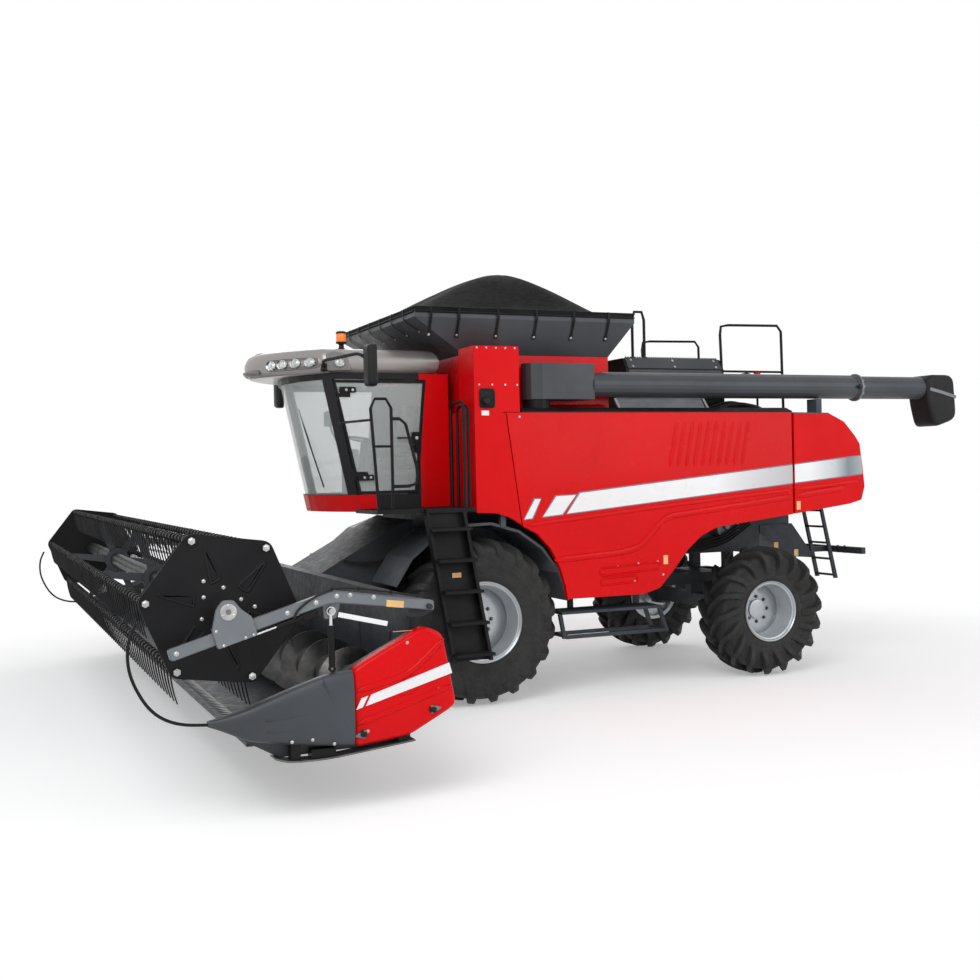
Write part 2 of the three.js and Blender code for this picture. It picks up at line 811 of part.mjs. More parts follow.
// ================================================================ cab
// Plan of the cab at a height, as a ring: flat back and sides, a bowed front that leans forward.
function cabRing(z, inset = 0, extra = 0) {
  const lean = ((cab.browX - cab.footX) * (z - cab.glassFrom)) / (cab.top - cab.glassFrom);
  const x = cab.footX + Math.max(lean, -40) + extra - inset;
  const half = cab.half - inset;
  const ring = [[cab.rearX + inset, -half, z]];
  const steps = 8;
  for (let i = 0; i <= steps; i++) {
    const t = -1 + (2 * i) / steps;
    ring.push([x + cab.bow * (1 - t * t), half * t, z]);
  }
  ring.push([cab.rearX + inset, half, z]);
  return ring;
}

const cabShell = (a, b, z0, z1) => cut(
  loft([cabRing(z0, a), cabRing(z1, a)]),
  loft([cabRing(z0 - 1, b), cabRing(z1 + 1, b)]),
);

const cabLean = (cab.browX - cab.footX) / (cab.top - cab.glassFrom);
const doorFront = (z) => cab.footX - 10 + cabLean * (z - cab.glassFrom);
const doorRear = (z) => 470 - (120 * (z - cab.glassFrom)) / (cab.top - cab.glassFrom);
const sideOpening = (grow, z0, z1) => [
  [doorRear(z0) - grow, z0 - grow],
  [doorFront(z0) + grow, z0 - grow],
  [doorFront(z1) + grow, z1 + grow],
  [doorRear(z1) - grow, z1 + grow],
];

// The door hangs on two hinges along the leaning front pillar.
const hingeAt = (z) => [doorFront(z) + 4, cab.half + 14, z];

function pillarHinge(z) {
  const knuckle = (z0, z1) => {
    const x = doorFront((z0 + z1) / 2);
    const leaf = box(x + 8, x + 16, cab.half - 28, cab.half + 20, z0 + 5, z1 - 5);
    return join(bar(hingeAt(z0), hingeAt(z1), hingePin, 10), leaf);
  };
  const reach = [hingeHalf + GAP, hingeHalf + 30];
  return join(knuckle(z + reach[0], z + reach[1]), knuckle(z - reach[1], z - reach[0]));
}

function cabFrame() {
  const shell = join(
    cabShell(0, cabWall, cab.glassFrom - 20, cab.top),
    cut(
      loft([cabRing(cab.floor, 0), cabRing(cab.glassFrom, 0)]),
      loft([cabRing(cab.floor + 50, cabWall), cabRing(cab.glassFrom + 1, cabWall)]),
    ),
  );
  const screenHalf = cab.half - pillar - cabWall;
  const screen = box(700, 3000, -screenHalf, screenHalf, cab.glassFrom, cab.top - 60);
  const leftDoor = prismY(sideOpening(MOVE, ...doorZ), cab.half - cabWall - 20, cab.half + 20);
  const rightWindow = mirrorY(prismY(sideOpening(0, ...doorZ), cab.half - cabWall - 20, cab.half + 20));
  const column = join(
    bar([880, 0, cab.floor + 40], [760, 0, cab.floor + 760], 45, 10),
    steeringWheel(),
    box(150, 560, -560, -330, cab.floor + 40, cab.floor + 700),
  );
  return join(cut(shell, screen, leftDoor, rightWindow), column, hingeZ.map(pillarHinge));
}

function steeringWheel() {
  const ringX = 745;
  const z = cab.floor + 790;
  const g = new THREE.TorusGeometry(205, 16, 6, 18);
  g.rotateY(deg(-12));
  g.translate(ringX, 0, z);
  const tilt = solid(g);
  const spoke = bar([ringX, -205, z], [ringX, 205, z], 14, 6);
  return join(tilt, spoke, bar([770, 0, cab.floor + 740], [ringX, 0, z + 10], 40, 8));
}

function windscreen() {
  const paneHalf = cab.half - pillar - cabWall - GAP;
  const band = box(700, 3000, -paneHalf, paneHalf, cab.glassFrom + GAP, cab.top - 60 - GAP);
  return cabShell(20, 20 + glass, cab.glassFrom - 10, cab.top - 10).intersect(band);
}

function rightWindow() {
  return mirrorY(prismY(sideOpening(-GAP, ...doorZ), cab.half - 20 - glass, cab.half - 20));
}

function doorFrame() {
  const y = [cab.half - doorThick, cab.half];
  const ring = cut(
    prismY(sideOpening(0, ...doorZ), ...y),
    prismY(sideOpening(-doorBorder, ...doorZ), y[0] - 5, y[1] + 5),
  );
  const latch = box(doorRear(2750) + 5, doorRear(2750) + 90, cab.half - doorThick, cab.half, 2710, 2790);
  const handle = box(doorRear(2750) + 30, doorRear(2750) + 60, cab.half - JOIN, cab.half + 40, 2700, 2800);
  const straps = hingeZ.map((z) =>
    join(
      box(
        doorFront(z) - 150, doorFront(z) - 8,
        cab.half - doorThick, cab.half + 12,
        z - hingeHalf + 5, z + hingeHalf - 5,
      ),
      box(doorFront(z) - 20, doorFront(z), cab.half + 4, cab.half + 22, z - hingeHalf + 5, z + hingeHalf - 5),
      bar(hingeAt(z - hingeHalf), hingeAt(z + hingeHalf), hingePin, 10),
    ),
  );
  return join(ring, latch, handle, straps);
}

function doorGlass() {
  const pane = prismY(sideOpening(-doorBorder - GAP, ...doorZ), cab.half - 20, cab.half - 20 + glass);
  const latch = box(doorRear(2750), doorRear(2750) + 90 + GAP, 0, 2000, 2710 - GAP, 2790 + GAP);
  const straps = hingeZ.map((z) =>
    box(doorFront(z) - 150 - GAP, doorFront(z), 0, 2000, z - hingeHalf - GAP, z + hingeHalf + GAP),
  );
  return cut(pane, latch, straps);
}

// Plan of the roof at a height: flat back and sides, and a long pointed brow.
function roofRing(z, inset) {
  const half = 985 - inset;
  const ring = [[200 + inset, -half, z], [1480, -half, z]];
  for (const t of [-0.8, -0.55, -0.28, 0, 0.28, 0.55, 0.8]) {
    ring.push([1480 + (2120 - inset - 1480) * (1 - Math.abs(t) ** 1.7), half * t, z]);
  }
  ring.push([1480, half, z], [200 + inset, half, z]);
  return ring;
}

function cabRoof() {
  const z0 = cab.top + GAP;
  const slab = loft([
    roofRing(z0, 55),
    roofRing(z0 + 110, 0),
    roofRing(z0 + 230, 45),
    roofRing(z0 + roofThick + 20, 130),
  ]);
  const mirrorArm = (side) => {
    const arm = join(
      bentTube(
        [
          [1480, 900, z0 + 60],
          [1560, 1120, z0 + 110],
          [1330, mirrorAt - 10, z0 + 130],
          [1290, mirrorAt, z0 - 30],
        ],
        17,
        60,
        6,
      ),
      box(1240, 1290, mirrorAt - 105, mirrorAt + 105, 3370, 3790),
    );
    return side > 0 ? arm : mirrorY(arm);
  };
  const beacon = join(
    bar([1190, 600, z0 + roofThick], [1190, 600, z0 + roofThick + 90], 25, 10),
    bar([1190, 600, z0 + roofThick + 88], [1190, 600, z0 + roofThick + 240], 62, 14),
  );
  const pad = box(500, 700, -100, 100, z0 + roofThick, z0 + roofThick + 40);
  return join(slab, mirrorArm(1), mirrorArm(-1), beacon, pad);
}

function operatorSeat() {
  const z = cab.floor + 50 + GAP;
  const base = box(230, 620, -210, 210, z, z + 330);
  const cushion = box(180, 700, -260, 260, z + 328, z + 470);
  const back = prismY(
    [
      [170, z + 460],
      [300, z + 460],
      [270, z + 1150],
      [165, z + 1150],
    ],
    -250,
    250,
  );
  return join(base, cushion, back);
}

// ================================================================ platform and ladder

function accessPlatform() {
  const p = platform;
  const plate = box(p.x0, p.x1, p.y0, p.y1, p.z0, p.z1);
  const arms = [200, 760].map((x) => box(x, x + 60, coreHalf + GAP, p.y1, p.z0 - 60, p.z0 + JOIN));
  const foot = p.z0 + 10;
  const tubeR = 17;
  const rail = (points, bend = 60) => bentTube(points, tubeR, bend, 6);
  const y = railYOut;
  const loop = rail([[1150, y, foot], [1225, y, 3245], [1000, y, 3245], [1000, y, foot]], 80);
  const rung = bar([1195, y, 2760], [1000, y, 2760], 13, 6);
  const gate = rail([[1000, y, 3040], [860, y, 3040], [726, y, 2510], [736, y, 2350], [1000, y, 2350]], 60);
  const tie = bar([1215, y, 3030], [1350, cab.half + 6, 3030], 13, 6);
  const grabs = [205, 115 + tubeR].map((x, i) =>
    rail(
      [[x, y - 60 * i, foot], [x, y - 60 * i, 3220 - 40 * i], [x, 1300, 3220 - 40 * i], [x, 1300, foot]],
      60,
    ),
  );
  return join(plate, arms, loop, rung, gate, tie, grabs);
}

function entryLadder() {
  const l = ladder;
  const h = l.top - l.bottom;
  const ring = (x0, x1, y, deep, z) => [[x0, y, z], [x1, y, z], [x1, y + deep, z], [x0, y + deep, z]];
  const stringer = (x) =>
    loft([
      ring(x + l.leanX, x + l.leanX + 34, l.y + l.leanY, 90, l.bottom),
      ring(x, x + 34, l.y, 90, l.top),
    ]);
  const back = loft([
    ring(l.x0 + l.leanX, l.x1 + l.leanX, l.y + l.leanY, 6, l.bottom),
    ring(l.x0, l.x1, l.y, 6, l.top),
  ]);
  const treads = [0.04, 0.25, 0.46, 0.67, 0.88].map((t) => {
    const z = l.bottom + h * t;
    const y = l.y + l.leanY * (1 - t);
    const x = l.leanX * (1 - t);
    return box(l.x0 + x + 10, l.x1 + x - 10, y + 2, y + l.tread, z, z + 30);
  });
  const hook = box(l.x0 + 20, l.x1 - 20, platform.y1 + GAP, l.y + 40, l.top - JOIN, platform.z1);
  return join(stringer(l.x0), stringer(l.x1 - 34), back, treads, hook);
}

// ================================================================ unloading auger

function unloadingTube() {
  const p = augerPivot;
  const r = elbow.radius;
  const plan = [];
  for (let i = 0; i <= 8; i++) {
    const a = deg(-90 + (180 * i) / 8);
    plan.push([p.x + r * Math.cos(a), p.y + r * Math.sin(a)]);
  }
  plan.push([-1180, p.y + 160], [-1440, p.y + 120], [-1440, p.y - 120], [-1180, p.y - 160]);
  const housing = prismZ(plan, elbow.z0, elbow.z1);
  const tube = bar([-1430, p.y, augerTube.z], [augerTube.end, p.y, augerTube.z], augerTube.radius, 20);
  const flange = bar([-5110, p.y, augerTube.z], [-5160, p.y, augerTube.z], augerTube.radius + 22, 20);
  const bore = bar([-1700, p.y, augerTube.z], [augerTube.end - 10, p.y, augerTube.z], tubeInside, 20);
  return cut(join(housing, tube, flange), bore);
}

function unloadingSpout() {
  const p = augerPivot;
  const x = augerTube.end - GAP;
  const half = 165;
  const side = [
    [x, 3255],
    [x, 3585],
    [x - 440, 3585],
    [x - 480, 3020],
    [x - 90, 2905],
  ];
  const hollow = [
    [x - 14, 3270],
    [x - 14, 3565],
    [x - 420, 3565],
    [x - 462, 2900],
    [x - 60, 2800],
    [x - 100, 3010],
  ];
  const mouth = bar([x + 10, p.y, augerTube.z], [x - 40, p.y, augerTube.z], tubeInside, 20);
  return cut(prismY(side, p.y - half, p.y + half), prismY(hollow, p.y - half + 12, p.y + half - 12), mouth);
}

// ================================================================ feeder house and header
function feederHouse() {
  const sideOutline = [
    [440, 1330],
    [430, 1990],
    [620, 1900],
    [lowBeam.x0 - GAP, 1200],
    [lowBeam.x0 - GAP, 600],
    [1700, 640],
  ];
  const body = prismY(sideOutline, -feederHalf, feederHalf);
  const duct = prismY(
    [
      [500, 1400],
      [500, 1880],
      [640, 1820],
      [1960, 1090],
      [1960, 700],
    ],
    -feederHalf + 40,
    feederHalf - 40,
  );
  const shaft = discY(liftPivot.x, liftPivot.z, 60, -feederHalf - 50, feederHalf + 50, 16);
  const ears = [1, -1].map((side) => {
    const e = prismY(
      [
        [liftPivot.x - 80, liftPivot.z - 90],
        [liftPivot.x - 80, liftPivot.z + 90],
        [460, liftPivot.z + 110],
        [460, liftPivot.z - 110],
      ],
      feederHalf - 60,
      feederHalf,
    );
    return side > 0 ? e : mirrorY(e);
  });
  const lugs = [-1, 1].flatMap((side) =>
    [-62, 62].map((d) =>
      prismY(
        [
          [liftEye.x - 120, 960],
          [liftEye.x - 60, liftEye.z - 40],
          [liftEye.x, liftEye.z - 60],
          [liftEye.x + 60, liftEye.z - 40],
          [liftEye.x + 120, 900],
        ],
        side * liftY + d - 15,
        side * liftY + d + 15,
      ),
    ),
  );

  const pins = [-1, 1].map((side) =>
    discY(liftEye.x, liftEye.z, liftPin, side * liftY - 75, side * liftY + 75, 12),
  );
  return join(cut(body, duct), ears, shaft, lugs, pins);
}

const trough = [
  [1985, 1440],
  [1985, 790],
  [2035, 690],
  [2130, 610],
  [2290, 575],
  [2620, 570],
  [2900, 560],
  [3120, 552],
];

function headerFrame() {
  const outer = [...trough].reverse().map(([x, z]) => [x, z]);
  const under = trough.map(([x, z], i) => (i < 2 ? [x - pan, z] : [x - 12, z - pan]));
  const sheet = prismY([...under, ...outer], -headerHalf, headerHalf);
  const throat = box(1900, 2080, -feederHalf + 40, feederHalf - 40, 700, 1190);
  const beam = box(backBeam.x0, backBeam.x1, -headerHalf, headerHalf, backBeam.z0, backBeam.z1);
  const low = box(lowBeam.x0, lowBeam.x1, -headerHalf, headerHalf, lowBeam.z0, lowBeam.z1);
  // What repeats along half of the header: its middle places from one end to the other.
  const along = (from, to, count) =>
    Array.from({ length: count }, (_, k) => from + ((to - from) * k) / (count - 1)).flatMap((y) => [-y, y]);
  const posts = along(feederHalf + 80, headerHalf - 140, 5).map((y) =>
    box(1900, 1970, y - 40, y + 40, lowBeam.z0 + 10, backBeam.z0 + 10),
  );
  const ribs = along(feederHalf + 360, headerHalf - 500, 4).map((y) =>
    prismY(
      [
        [1950, 600],
        [2140, 510],
        [3080, 490],
        [3080, 540],
        [2140, 600],
      ],
      y - 20,
      y + 20,
    ),
  );
  const knife = box(3105, 3215, -headerHalf, headerHalf, 545, 572);
  const hangers = [1, -1].map((side) => {
    const ear = cut(
      prismY(
        [
          [backBeam.x0, 1400],
          [backBeam.x1, 1400],
          [backBeam.x1, backBeam.z1],
          [reelPivot.x + 30, backBeam.z1],
          [reelPivot.x - 60, reelPivot.z + 30],
          [reelPivot.x - 60, reelPivot.z - 40],
        ],
        headerHalf - JOIN,
        armY - armThick / 2 - GAP,
      ),
    );
    const pin = discY(reelPivot.x, reelPivot.z, 22, headerHalf, armY + armThick / 2 + 30, 12);
    const s = join(ear, pin);
    return side > 0 ? s : mirrorY(s);
  });
  const frame = cut(join(sheet, low), throat);
  return join(frame, beam, posts, ribs, knife, hangers);
}

function endShield() {
  const sheet = prismY(
    [
      [1990, 470],
      [3000, 452],
      [3290, 620],
      [3330, 790],
      [2680, 985],
      [2520, 1035],
      [1990, 1290],
    ],
    headerHalf + GAP,
    headerHalf + endSheet,
  );
  const cover = prismY(
    [
      [1650, 740],
      [2030, 530],
      [2460, 485],
      [2465, 1060],
      [1880, 1345],
      [1730, 1270],
    ],
    headerHalf + endSheet - JOIN,
    shieldOut,
  );
  const noseRing = (x, y0, y1, z0, z1) => [
    [x, y0, z0],
    [x, y1, z0],
    [x, y1, z1],
    [x, y0, z1],
  ];
  const nose = loft([
    noseRing(2464, headerHalf + 20, shieldOut, 495, 1055),
    noseRing(3230, headerHalf + 30, shieldOut - 10, 600, 850),
    noseRing(3510, headerHalf + 70, shieldOut - 60, 735, 780),
  ]);
  const hoopY = (headerHalf + shieldOut) / 2 + 10;
  const hoop = bentTube(
    [
      [3440, hoopY, 745],
      [3720, hoopY, 770],
      [3900, hoopY, 880],
      [4040, hoopY, 1130],
      [4050, hoopY, 1350],
      [3975, hoopY, 1500],
    ],
    12, 70, 6,
  );
  const skid = prismY(
    [
      [1990, 462],
      [2670, 410],
      [3030, 435],
      [3060, 470],
      [1990, 500],
    ],
    headerHalf + 20,
    shieldOut - 20,
  );
  const ears = [-1, 1].map((side) =>
    box(reelFoot.x - 28, reelFoot.x + 28, armY + side * 34 - 5, armY + side * 34 + 5, 960, reelFoot.z + 26),
  );
  const footPin = discY(reelFoot.x, reelFoot.z, reelSize.footPin, armY - 36, armY + 36, 12);
  const bearing = discY(
    headerAuger.x,
    headerAuger.z,
    (headerAuger.shaft + RUN) / Math.cos(Math.PI / 12),
    headerHalf - 10,
    headerHalf + 56,
    12,
  );
  return cut(join(sheet, cover, nose, hoop, skid, ears, footPin), bearing);
}

// ---------------------------------------------------------------- header auger
function augerFlight(y0, y1, hand) {
  const a = headerAuger;
  const turns = Math.abs(y1 - y0) / a.pitch;
  const steps = Math.round(turns * 8);
  const thick = 14;
  const ringAt = (i) => {
    const phase = (hand * 2 * Math.PI * turns * i) / steps;
    const y = y0 + ((y1 - y0) * i) / steps;
    const dir = [Math.cos(phase), Math.sin(phase)];
    const p = (r, dy) => [a.x + dir[0] * r, y + dy, a.z + dir[1] * r];
    return [p(a.tube - 12, -thick), p(a.flight, -thick / 2), p(a.flight, thick / 2), p(a.tube - 12, thick)];
  };
  const rings = Array.from({ length: steps + 1 }, (_, i) => ringAt(i));
  return loft(rings);
}

function headerAugerSolid() {
  const a = headerAuger;
  const inner = feederHalf - 60;
  const tube = discY(a.x, a.z, a.tube, -headerHalf, headerHalf, 12);
  const shaft = discY(a.x, a.z, a.shaft, -headerHalf - 50, headerHalf + 50, 12);
  const left = augerFlight(headerHalf - 30, inner, 1);
  const right = augerFlight(-headerHalf + 30, -inner, -1);
  const fingers = [-360, 0, 360].flatMap((y, i) =>
    [0, 180].map((turn) => {
      const t = deg(turn + i * 45);
      const dir = [Math.cos(t), Math.sin(t)];
      return bar([a.x, y, a.z], [a.x + dir[0] * a.flight, y, a.z + dir[1] * a.flight], 11, 6);
    }),
  );
  return join(tube, shaft, left, right, fingers);
}

// ---------------------------------------------------------------- reel
const slideDir = new THREE.Vector2(armLine.x1 - armLine.x0, armLine.z1 - armLine.z0).normalize();
const armNormal = new THREE.Vector2(-slideDir.y, slideDir.x);
const onArm = (along, up) => [
  armLine.x0 + slideDir.x * along + armNormal.x * up,
  armLine.z0 + slideDir.y * along + armNormal.y * up,
];
const reelAlong = (reel.x - armLine.x0) * slideDir.x + (reel.z - armLine.z0) * slideDir.y;
const armLength = Math.hypot(armLine.x1 - armLine.x0, armLine.z1 - armLine.z0);

function reelArm() {
  const y0 = armY - armThick / 2;
  const y1 = armY + armThick / 2;
  const h = armLine.half;
  const beam = prismY(
    [
      [reelPivot.x - 45, reelPivot.z - 35],
      [reelPivot.x - 45, reelPivot.z + 45],
      [armLine.x0 - 20, armLine.z0 + h + 12],
      onArm(0, h),
      onArm(armLength, h),
      onArm(armLength, -h),
      onArm(30, -h),
    ],
    y0,
    y1,
  );
  const bore = discY(reelPivot.x, reelPivot.z, (22 + RUN) / Math.cos(Math.PI / 12), y0 - 5, y1 + 5, 12);
  const lug = prismY(
    [
      [reelEye.x - 35, armLine.z0],
      [reelEye.x - 35, reelEye.z - 20],
      [reelEye.x, reelEye.z - 36],
      [reelEye.x + 35, reelEye.z - 20],
      [reelEye.x + 35, armLine.z0],
    ],
    y0,
    y0 + 12,
  );
  const pin = discY(reelEye.x, reelEye.z, 14, y0 + 10, y1 - 4, 12);
  return join(cut(beam, bore), lug, pin);
}

// Slide block on a reel arm, with the plate above it and the stub shaft that the reel turns on.
function reelCarriage() {
  const y0 = armY - armThick / 2;
  const y1 = armY + armThick / 2;
  const h = armLine.half + MOVE;
  const top = armLine.half + GAP;
  const c = reelAlong;
  const plate = prismY(
    [
      onArm(c - 150, -h - 22),
      onArm(c + 150, -h - 22),
      onArm(c + 150, h + 20),
      [reel.x + 90, reel.z + 20],
      [reel.x + 40, reel.z + 85],
      [reel.x - 40, reel.z + 85],
      [reel.x - 90, reel.z + 20],
      onArm(c - 150, h + 20),
    ],
    y1 + MOVE,
    y1 + MOVE + 18,
  );
  const stub = discY(reel.x, reel.z, reel.shaft, reel.half - stubReach, y1 + MOVE + JOIN, SHAFT_SIDES);
  const shoe = (up0, up1) => {
    const corners = [onArm(c - 140, up0), onArm(c + 140, up0), onArm(c + 140, up1), onArm(c - 140, up1)];
    return prismY(corners, y0, y1 + MOVE + JOIN);
  };
  return join(plate, stub, shoe(top, h + 20), shoe(-h - 20, -h));
}

const pinAngle = (k) => deg(7.6 + 60 * k);
const pinAt = (k, r = reel.pins) => [reel.x + r * Math.cos(pinAngle(k)), reel.z + r * Math.sin(pinAngle(k))];
const batBore = (reel.bat + 2) / Math.cos(Math.PI / batSides);

function reelCore() {
  const tube = discY(reel.x, reel.z, reel.tube, -reel.half - 20, reel.half + 20, 12);
  const bore = (reel.shaft + RUN) / Math.cos(Math.PI / SHAFT_SIDES);
  const bearings = [-1, 1].map((side) => {
    const ends = [side * (reel.half - stubReach - GAP), side * (reel.half + 60)].sort((a, b) => a - b);
    return discY(reel.x, reel.z, bore, ends[0], ends[1], SHAFT_SIDES);
  });
  const star = (y, thick, closed) => {
    const points = [];
    for (let k = 0; k < 6; k++) {
      points.push(pinAt(k, reel.pins + 62));
      if (!closed) {
        const a = pinAngle(k) + Math.PI / 6;
        points.push([reel.x + 120 * Math.cos(a), reel.z + 120 * Math.sin(a)]);
      }
    }
    const holes = [0, 1, 2, 3, 4, 5].map((k) => discY(...pinAt(k), batBore, y - 5, y + thick + 5, batSides));
    const armWide = closed ? [] : [0, 1, 2, 3, 4, 5].map((k) => discY(...pinAt(k), 52, y, y + thick, 6));
    return cut(join(prismY(points, y, y + thick), armWide), holes);
  };
  const inner = [-starY, starY].map((y) => star(y - 8, 16, false));
  return cut(join(tube, star(reel.half, 16, true), star(-reel.half - 16, 16, true), inner), bearings);
}

function reelBat(k) {
  const [x, z] = pinAt(k);
  return join(
    discY(x, z, reel.bat, -reel.half - 40, reel.half + 40, batSides),
    [-1, 1].map((side) => discY(x, z, 36, side * (reel.half - GAP), side * (reel.half - 28), batSides)),
    [
      [-reel.half + 30, -starY - 30],
      [-starY + 30, starY - 30],
      [starY + 30, reel.half - 30],
    ].map(([y0, y1]) => box(x - 6, x + 6, y0, y1, z - 70, z)),
  );
}

// ---------------------------------------------------------------- cylinders
// A barrel with an eye at its foot, and the rod that slides in it, both along the line from foot to eye.
function cylinder(foot, eye, y, size) {
  const from = new THREE.Vector2(foot.x, foot.z);
  const to = new THREE.Vector2(eye.x, eye.z);
  const dir = to.clone().sub(from).normalize();
  const at = (d) => [from.x + dir.x * d, y, from.y + dir.y * d];
  const length = from.distanceTo(to);
  const eyeRing = (c, r, hole, half) =>
    cut(
      discY(c.x, c.z, r, y - half, y + half, 16),
      discY(c.x, c.z, hole / Math.cos(Math.PI / 12), y - 100, y + 100, 12),
    );
  const barrel = cut(
    join(
      bar(at(size.footRadius - 6), at(size.barrel), size.radius, 14),
      eyeRing(foot, size.footRadius, size.footPin + RUN, size.half),
    ),
    discY(foot.x, foot.z, (size.footPin + RUN) / Math.cos(Math.PI / 12), y - 100, y + 100, 12),
    bar(at(size.bore), at(size.barrel + 20), size.rod + 0.5, 12),
  );
  const rod = join(
    bar(at(size.rodStart), at(length - size.eyeRadius + 6), size.rod, 12),
    eyeRing(eye, size.eyeRadius, size.eyePin + size.eyeClear, size.half),
  );
  return { barrel, rod };
}

const liftSize = {
  footRadius: 60, footPin: liftPin, half: 62 - liftLugThick / 2 - GAP,
  barrel: 700, radius: 55, bore: 110, rod: 34,
  rodStart: 300, eyeRadius: 70, eyePin: liftPin, eyeClear: 18,
};
const reelSize = {
  footRadius: 26, footPin: 12, half: 14, barrel: 315, radius: 24, bore: 40, rod: 13,
  rodStart: 100, eyeRadius: 34, eyePin: 14, eyeClear: 9,
};

// ================================================================ assembly
node("main_frame", join(mainFrame(), sideStep()), paint.black);
node("front_axle", frontAxle(), paint.black);
node("rear_axle", rearAxle(), paint.black);
pair("left_knuckle", "right_knuckle", steeringKnuckle(), paint.black);
node("body_core", bodyCore(), paint.black);
node("engine", box(doorRearX + 630, -2230, -560, coolerY0 - MOVE, deckZ + GAP, 3700), paint.grey);
node("service_deck", serviceDeck(), paint.black);
const turretHole = bar(
  [augerPivot.x, augerPivot.y, 0],
  [augerPivot.x, augerPivot.y, elbow.z1],
  turretRadius + MOVE,
  20,
);
node("left_front_panel", frontPanel([turretHole]), paint.red);
node("right_front_panel", mirrorY(frontPanel([])), paint.red);
pair("left_side_door", "right_side_door", sideDoor(), paint.red);
node("rear_hood", rearHood(), paint.red);
node("straw_chopper", join(strawChopper(), rearLadder()), paint.grey);
node("grain_tank", grainTank(), paint.red);
node("tank_extension", tankExtension(), paint.grey);
node("tank_cover", tankCover(), paint.cloth);
node("cab_frame", cabFrame(), paint.black);
node("cab_windscreen", windscreen(), paint.glass);
node("cab_right_window", rightWindow(), paint.glass);
node("cab_door_frame", doorFrame(), paint.black);
node("cab_door_glass", doorGlass(), paint.glass);
node("cab_roof", cabRoof(), paint.silver);
node("operator_seat", operatorSeat(), paint.plastic);
node("access_platform", accessPlatform(), paint.black);
node("entry_ladder", entryLadder(), paint.black);
node("unloading_auger_tube", unloadingTube(), paint.grey);
node("unloading_spout", unloadingSpout(), paint.plastic);
node("feeder_house", feederHouse(), paint.grey);
node("header_frame", headerFrame(), paint.grey);
pair("left_end_shield", "right_end_shield", endShield(), paint.red);
node("header_auger", headerAugerSolid(), paint.black);
pair("left_reel_arm", "right_reel_arm", reelArm(), paint.grey);
pair("left_reel_carriage", "right_reel_carriage", reelCarriage(), paint.silver);
node("reel", reelCore(), paint.black);
for (let k = 0; k < 6; k++) node(`reel_bat_${k + 1}`, reelBat(k), paint.black);

const lift = cylinder(liftFoot, liftEye, liftY, liftSize);
pair("left_lift_barrel", "right_lift_barrel", lift.barrel, paint.black);
pair("left_lift_rod", "right_lift_rod", lift.rod, paint.steel);
const reelLift = cylinder(reelFoot, reelEye, armY, reelSize);
pair("left_reel_barrel", "right_reel_barrel", reelLift.barrel, paint.black);
pair("left_reel_rod", "right_reel_rod", reelLift.rod, paint.steel);

const extent = new THREE.Box3().setFromObject(machine);
const middle = extent.getCenter(new THREE.Vector3());
machine.position.set(-middle.x, -middle.y, -extent.min.z);

const harvester = new THREE.Group();
harvester.add(machine);
export default harvester;
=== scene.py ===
"""Looks of a combine harvester with its grain header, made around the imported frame.

Inside this script a place is given in the machine's own frame, in metres: x runs forward from the front
axle, y to the machine's left, z up from the ground. put() moves each finished piece into the frame's place.
A shape is a pair: an array of corner places, and a list of arrays of faces.
"""

import bpy
import numpy as np
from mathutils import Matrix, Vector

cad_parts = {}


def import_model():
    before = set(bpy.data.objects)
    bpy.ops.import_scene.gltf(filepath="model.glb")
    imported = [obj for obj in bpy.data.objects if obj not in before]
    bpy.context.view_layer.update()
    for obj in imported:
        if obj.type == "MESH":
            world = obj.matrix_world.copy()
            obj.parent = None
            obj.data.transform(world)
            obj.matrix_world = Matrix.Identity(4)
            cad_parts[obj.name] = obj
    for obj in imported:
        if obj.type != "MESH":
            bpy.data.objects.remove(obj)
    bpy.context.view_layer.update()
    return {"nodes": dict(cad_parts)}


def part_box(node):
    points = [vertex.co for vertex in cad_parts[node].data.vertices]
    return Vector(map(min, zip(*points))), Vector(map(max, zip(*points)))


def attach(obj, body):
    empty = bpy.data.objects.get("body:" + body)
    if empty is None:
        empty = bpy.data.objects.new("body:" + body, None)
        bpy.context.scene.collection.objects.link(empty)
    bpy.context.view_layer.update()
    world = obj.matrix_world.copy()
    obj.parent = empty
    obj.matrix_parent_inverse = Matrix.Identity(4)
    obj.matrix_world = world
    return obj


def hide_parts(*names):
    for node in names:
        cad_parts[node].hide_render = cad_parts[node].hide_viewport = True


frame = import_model()
nodes = frame["nodes"]

# The front axle's place in the frame, and sizes read from it.
rim_low, rim_high = (np.array(corner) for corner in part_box("left_front_rim"))
AXLE_X = (rim_low[0] + rim_high[0]) / 2
SIDES = {"left": 1, "right": -1}
LEFTWARD = (0, 1, 0)
# For each axis, the two directions across it and the one along it.
ACROSS_AND_ALONG = {"x": (1, 2, 0), "y": (0, 2, 1), "z": (0, 1, 2)}
# A slanting direction that keeps a round bar's section from turning over along its path.
BAR_UP = (0.31, 0.87, 0.39)


def node_box(name):
    """Lowest and highest corner of a CAD node in the machine's own frame."""
    low, high = (np.array(corner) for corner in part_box(name))
    return low - [AXLE_X, 0, 0], high - [AXLE_X, 0, 0]


# ---------------------------------------------------------------- shapes
def unit(v):
    """Vectors scaled to length one."""
    return v / np.maximum(np.linalg.norm(v, axis=-1, keepdims=True), 1e-12)


def grid(points, close_u=False, close_v=False, caps=False):
    """Faces between the neighbours of a grid of places; caps close the first and last row by one face
    each."""
    nu, nv = points.shape[:2]
    a, b = np.meshgrid(np.arange(nu - (not close_u)), np.arange(nv - (not close_v)), indexing="ij")
    c, d = (a + 1) % nu, (b + 1) % nv
    faces = [np.stack([a * nv + b, c * nv + b, c * nv + d, a * nv + d], -1).reshape(-1, 4)]
    if caps:
        faces += [np.arange(nv)[None, ::-1], (nu - 1) * nv + np.arange(nv)[None, :]]
    return points.reshape(-1, 3), faces


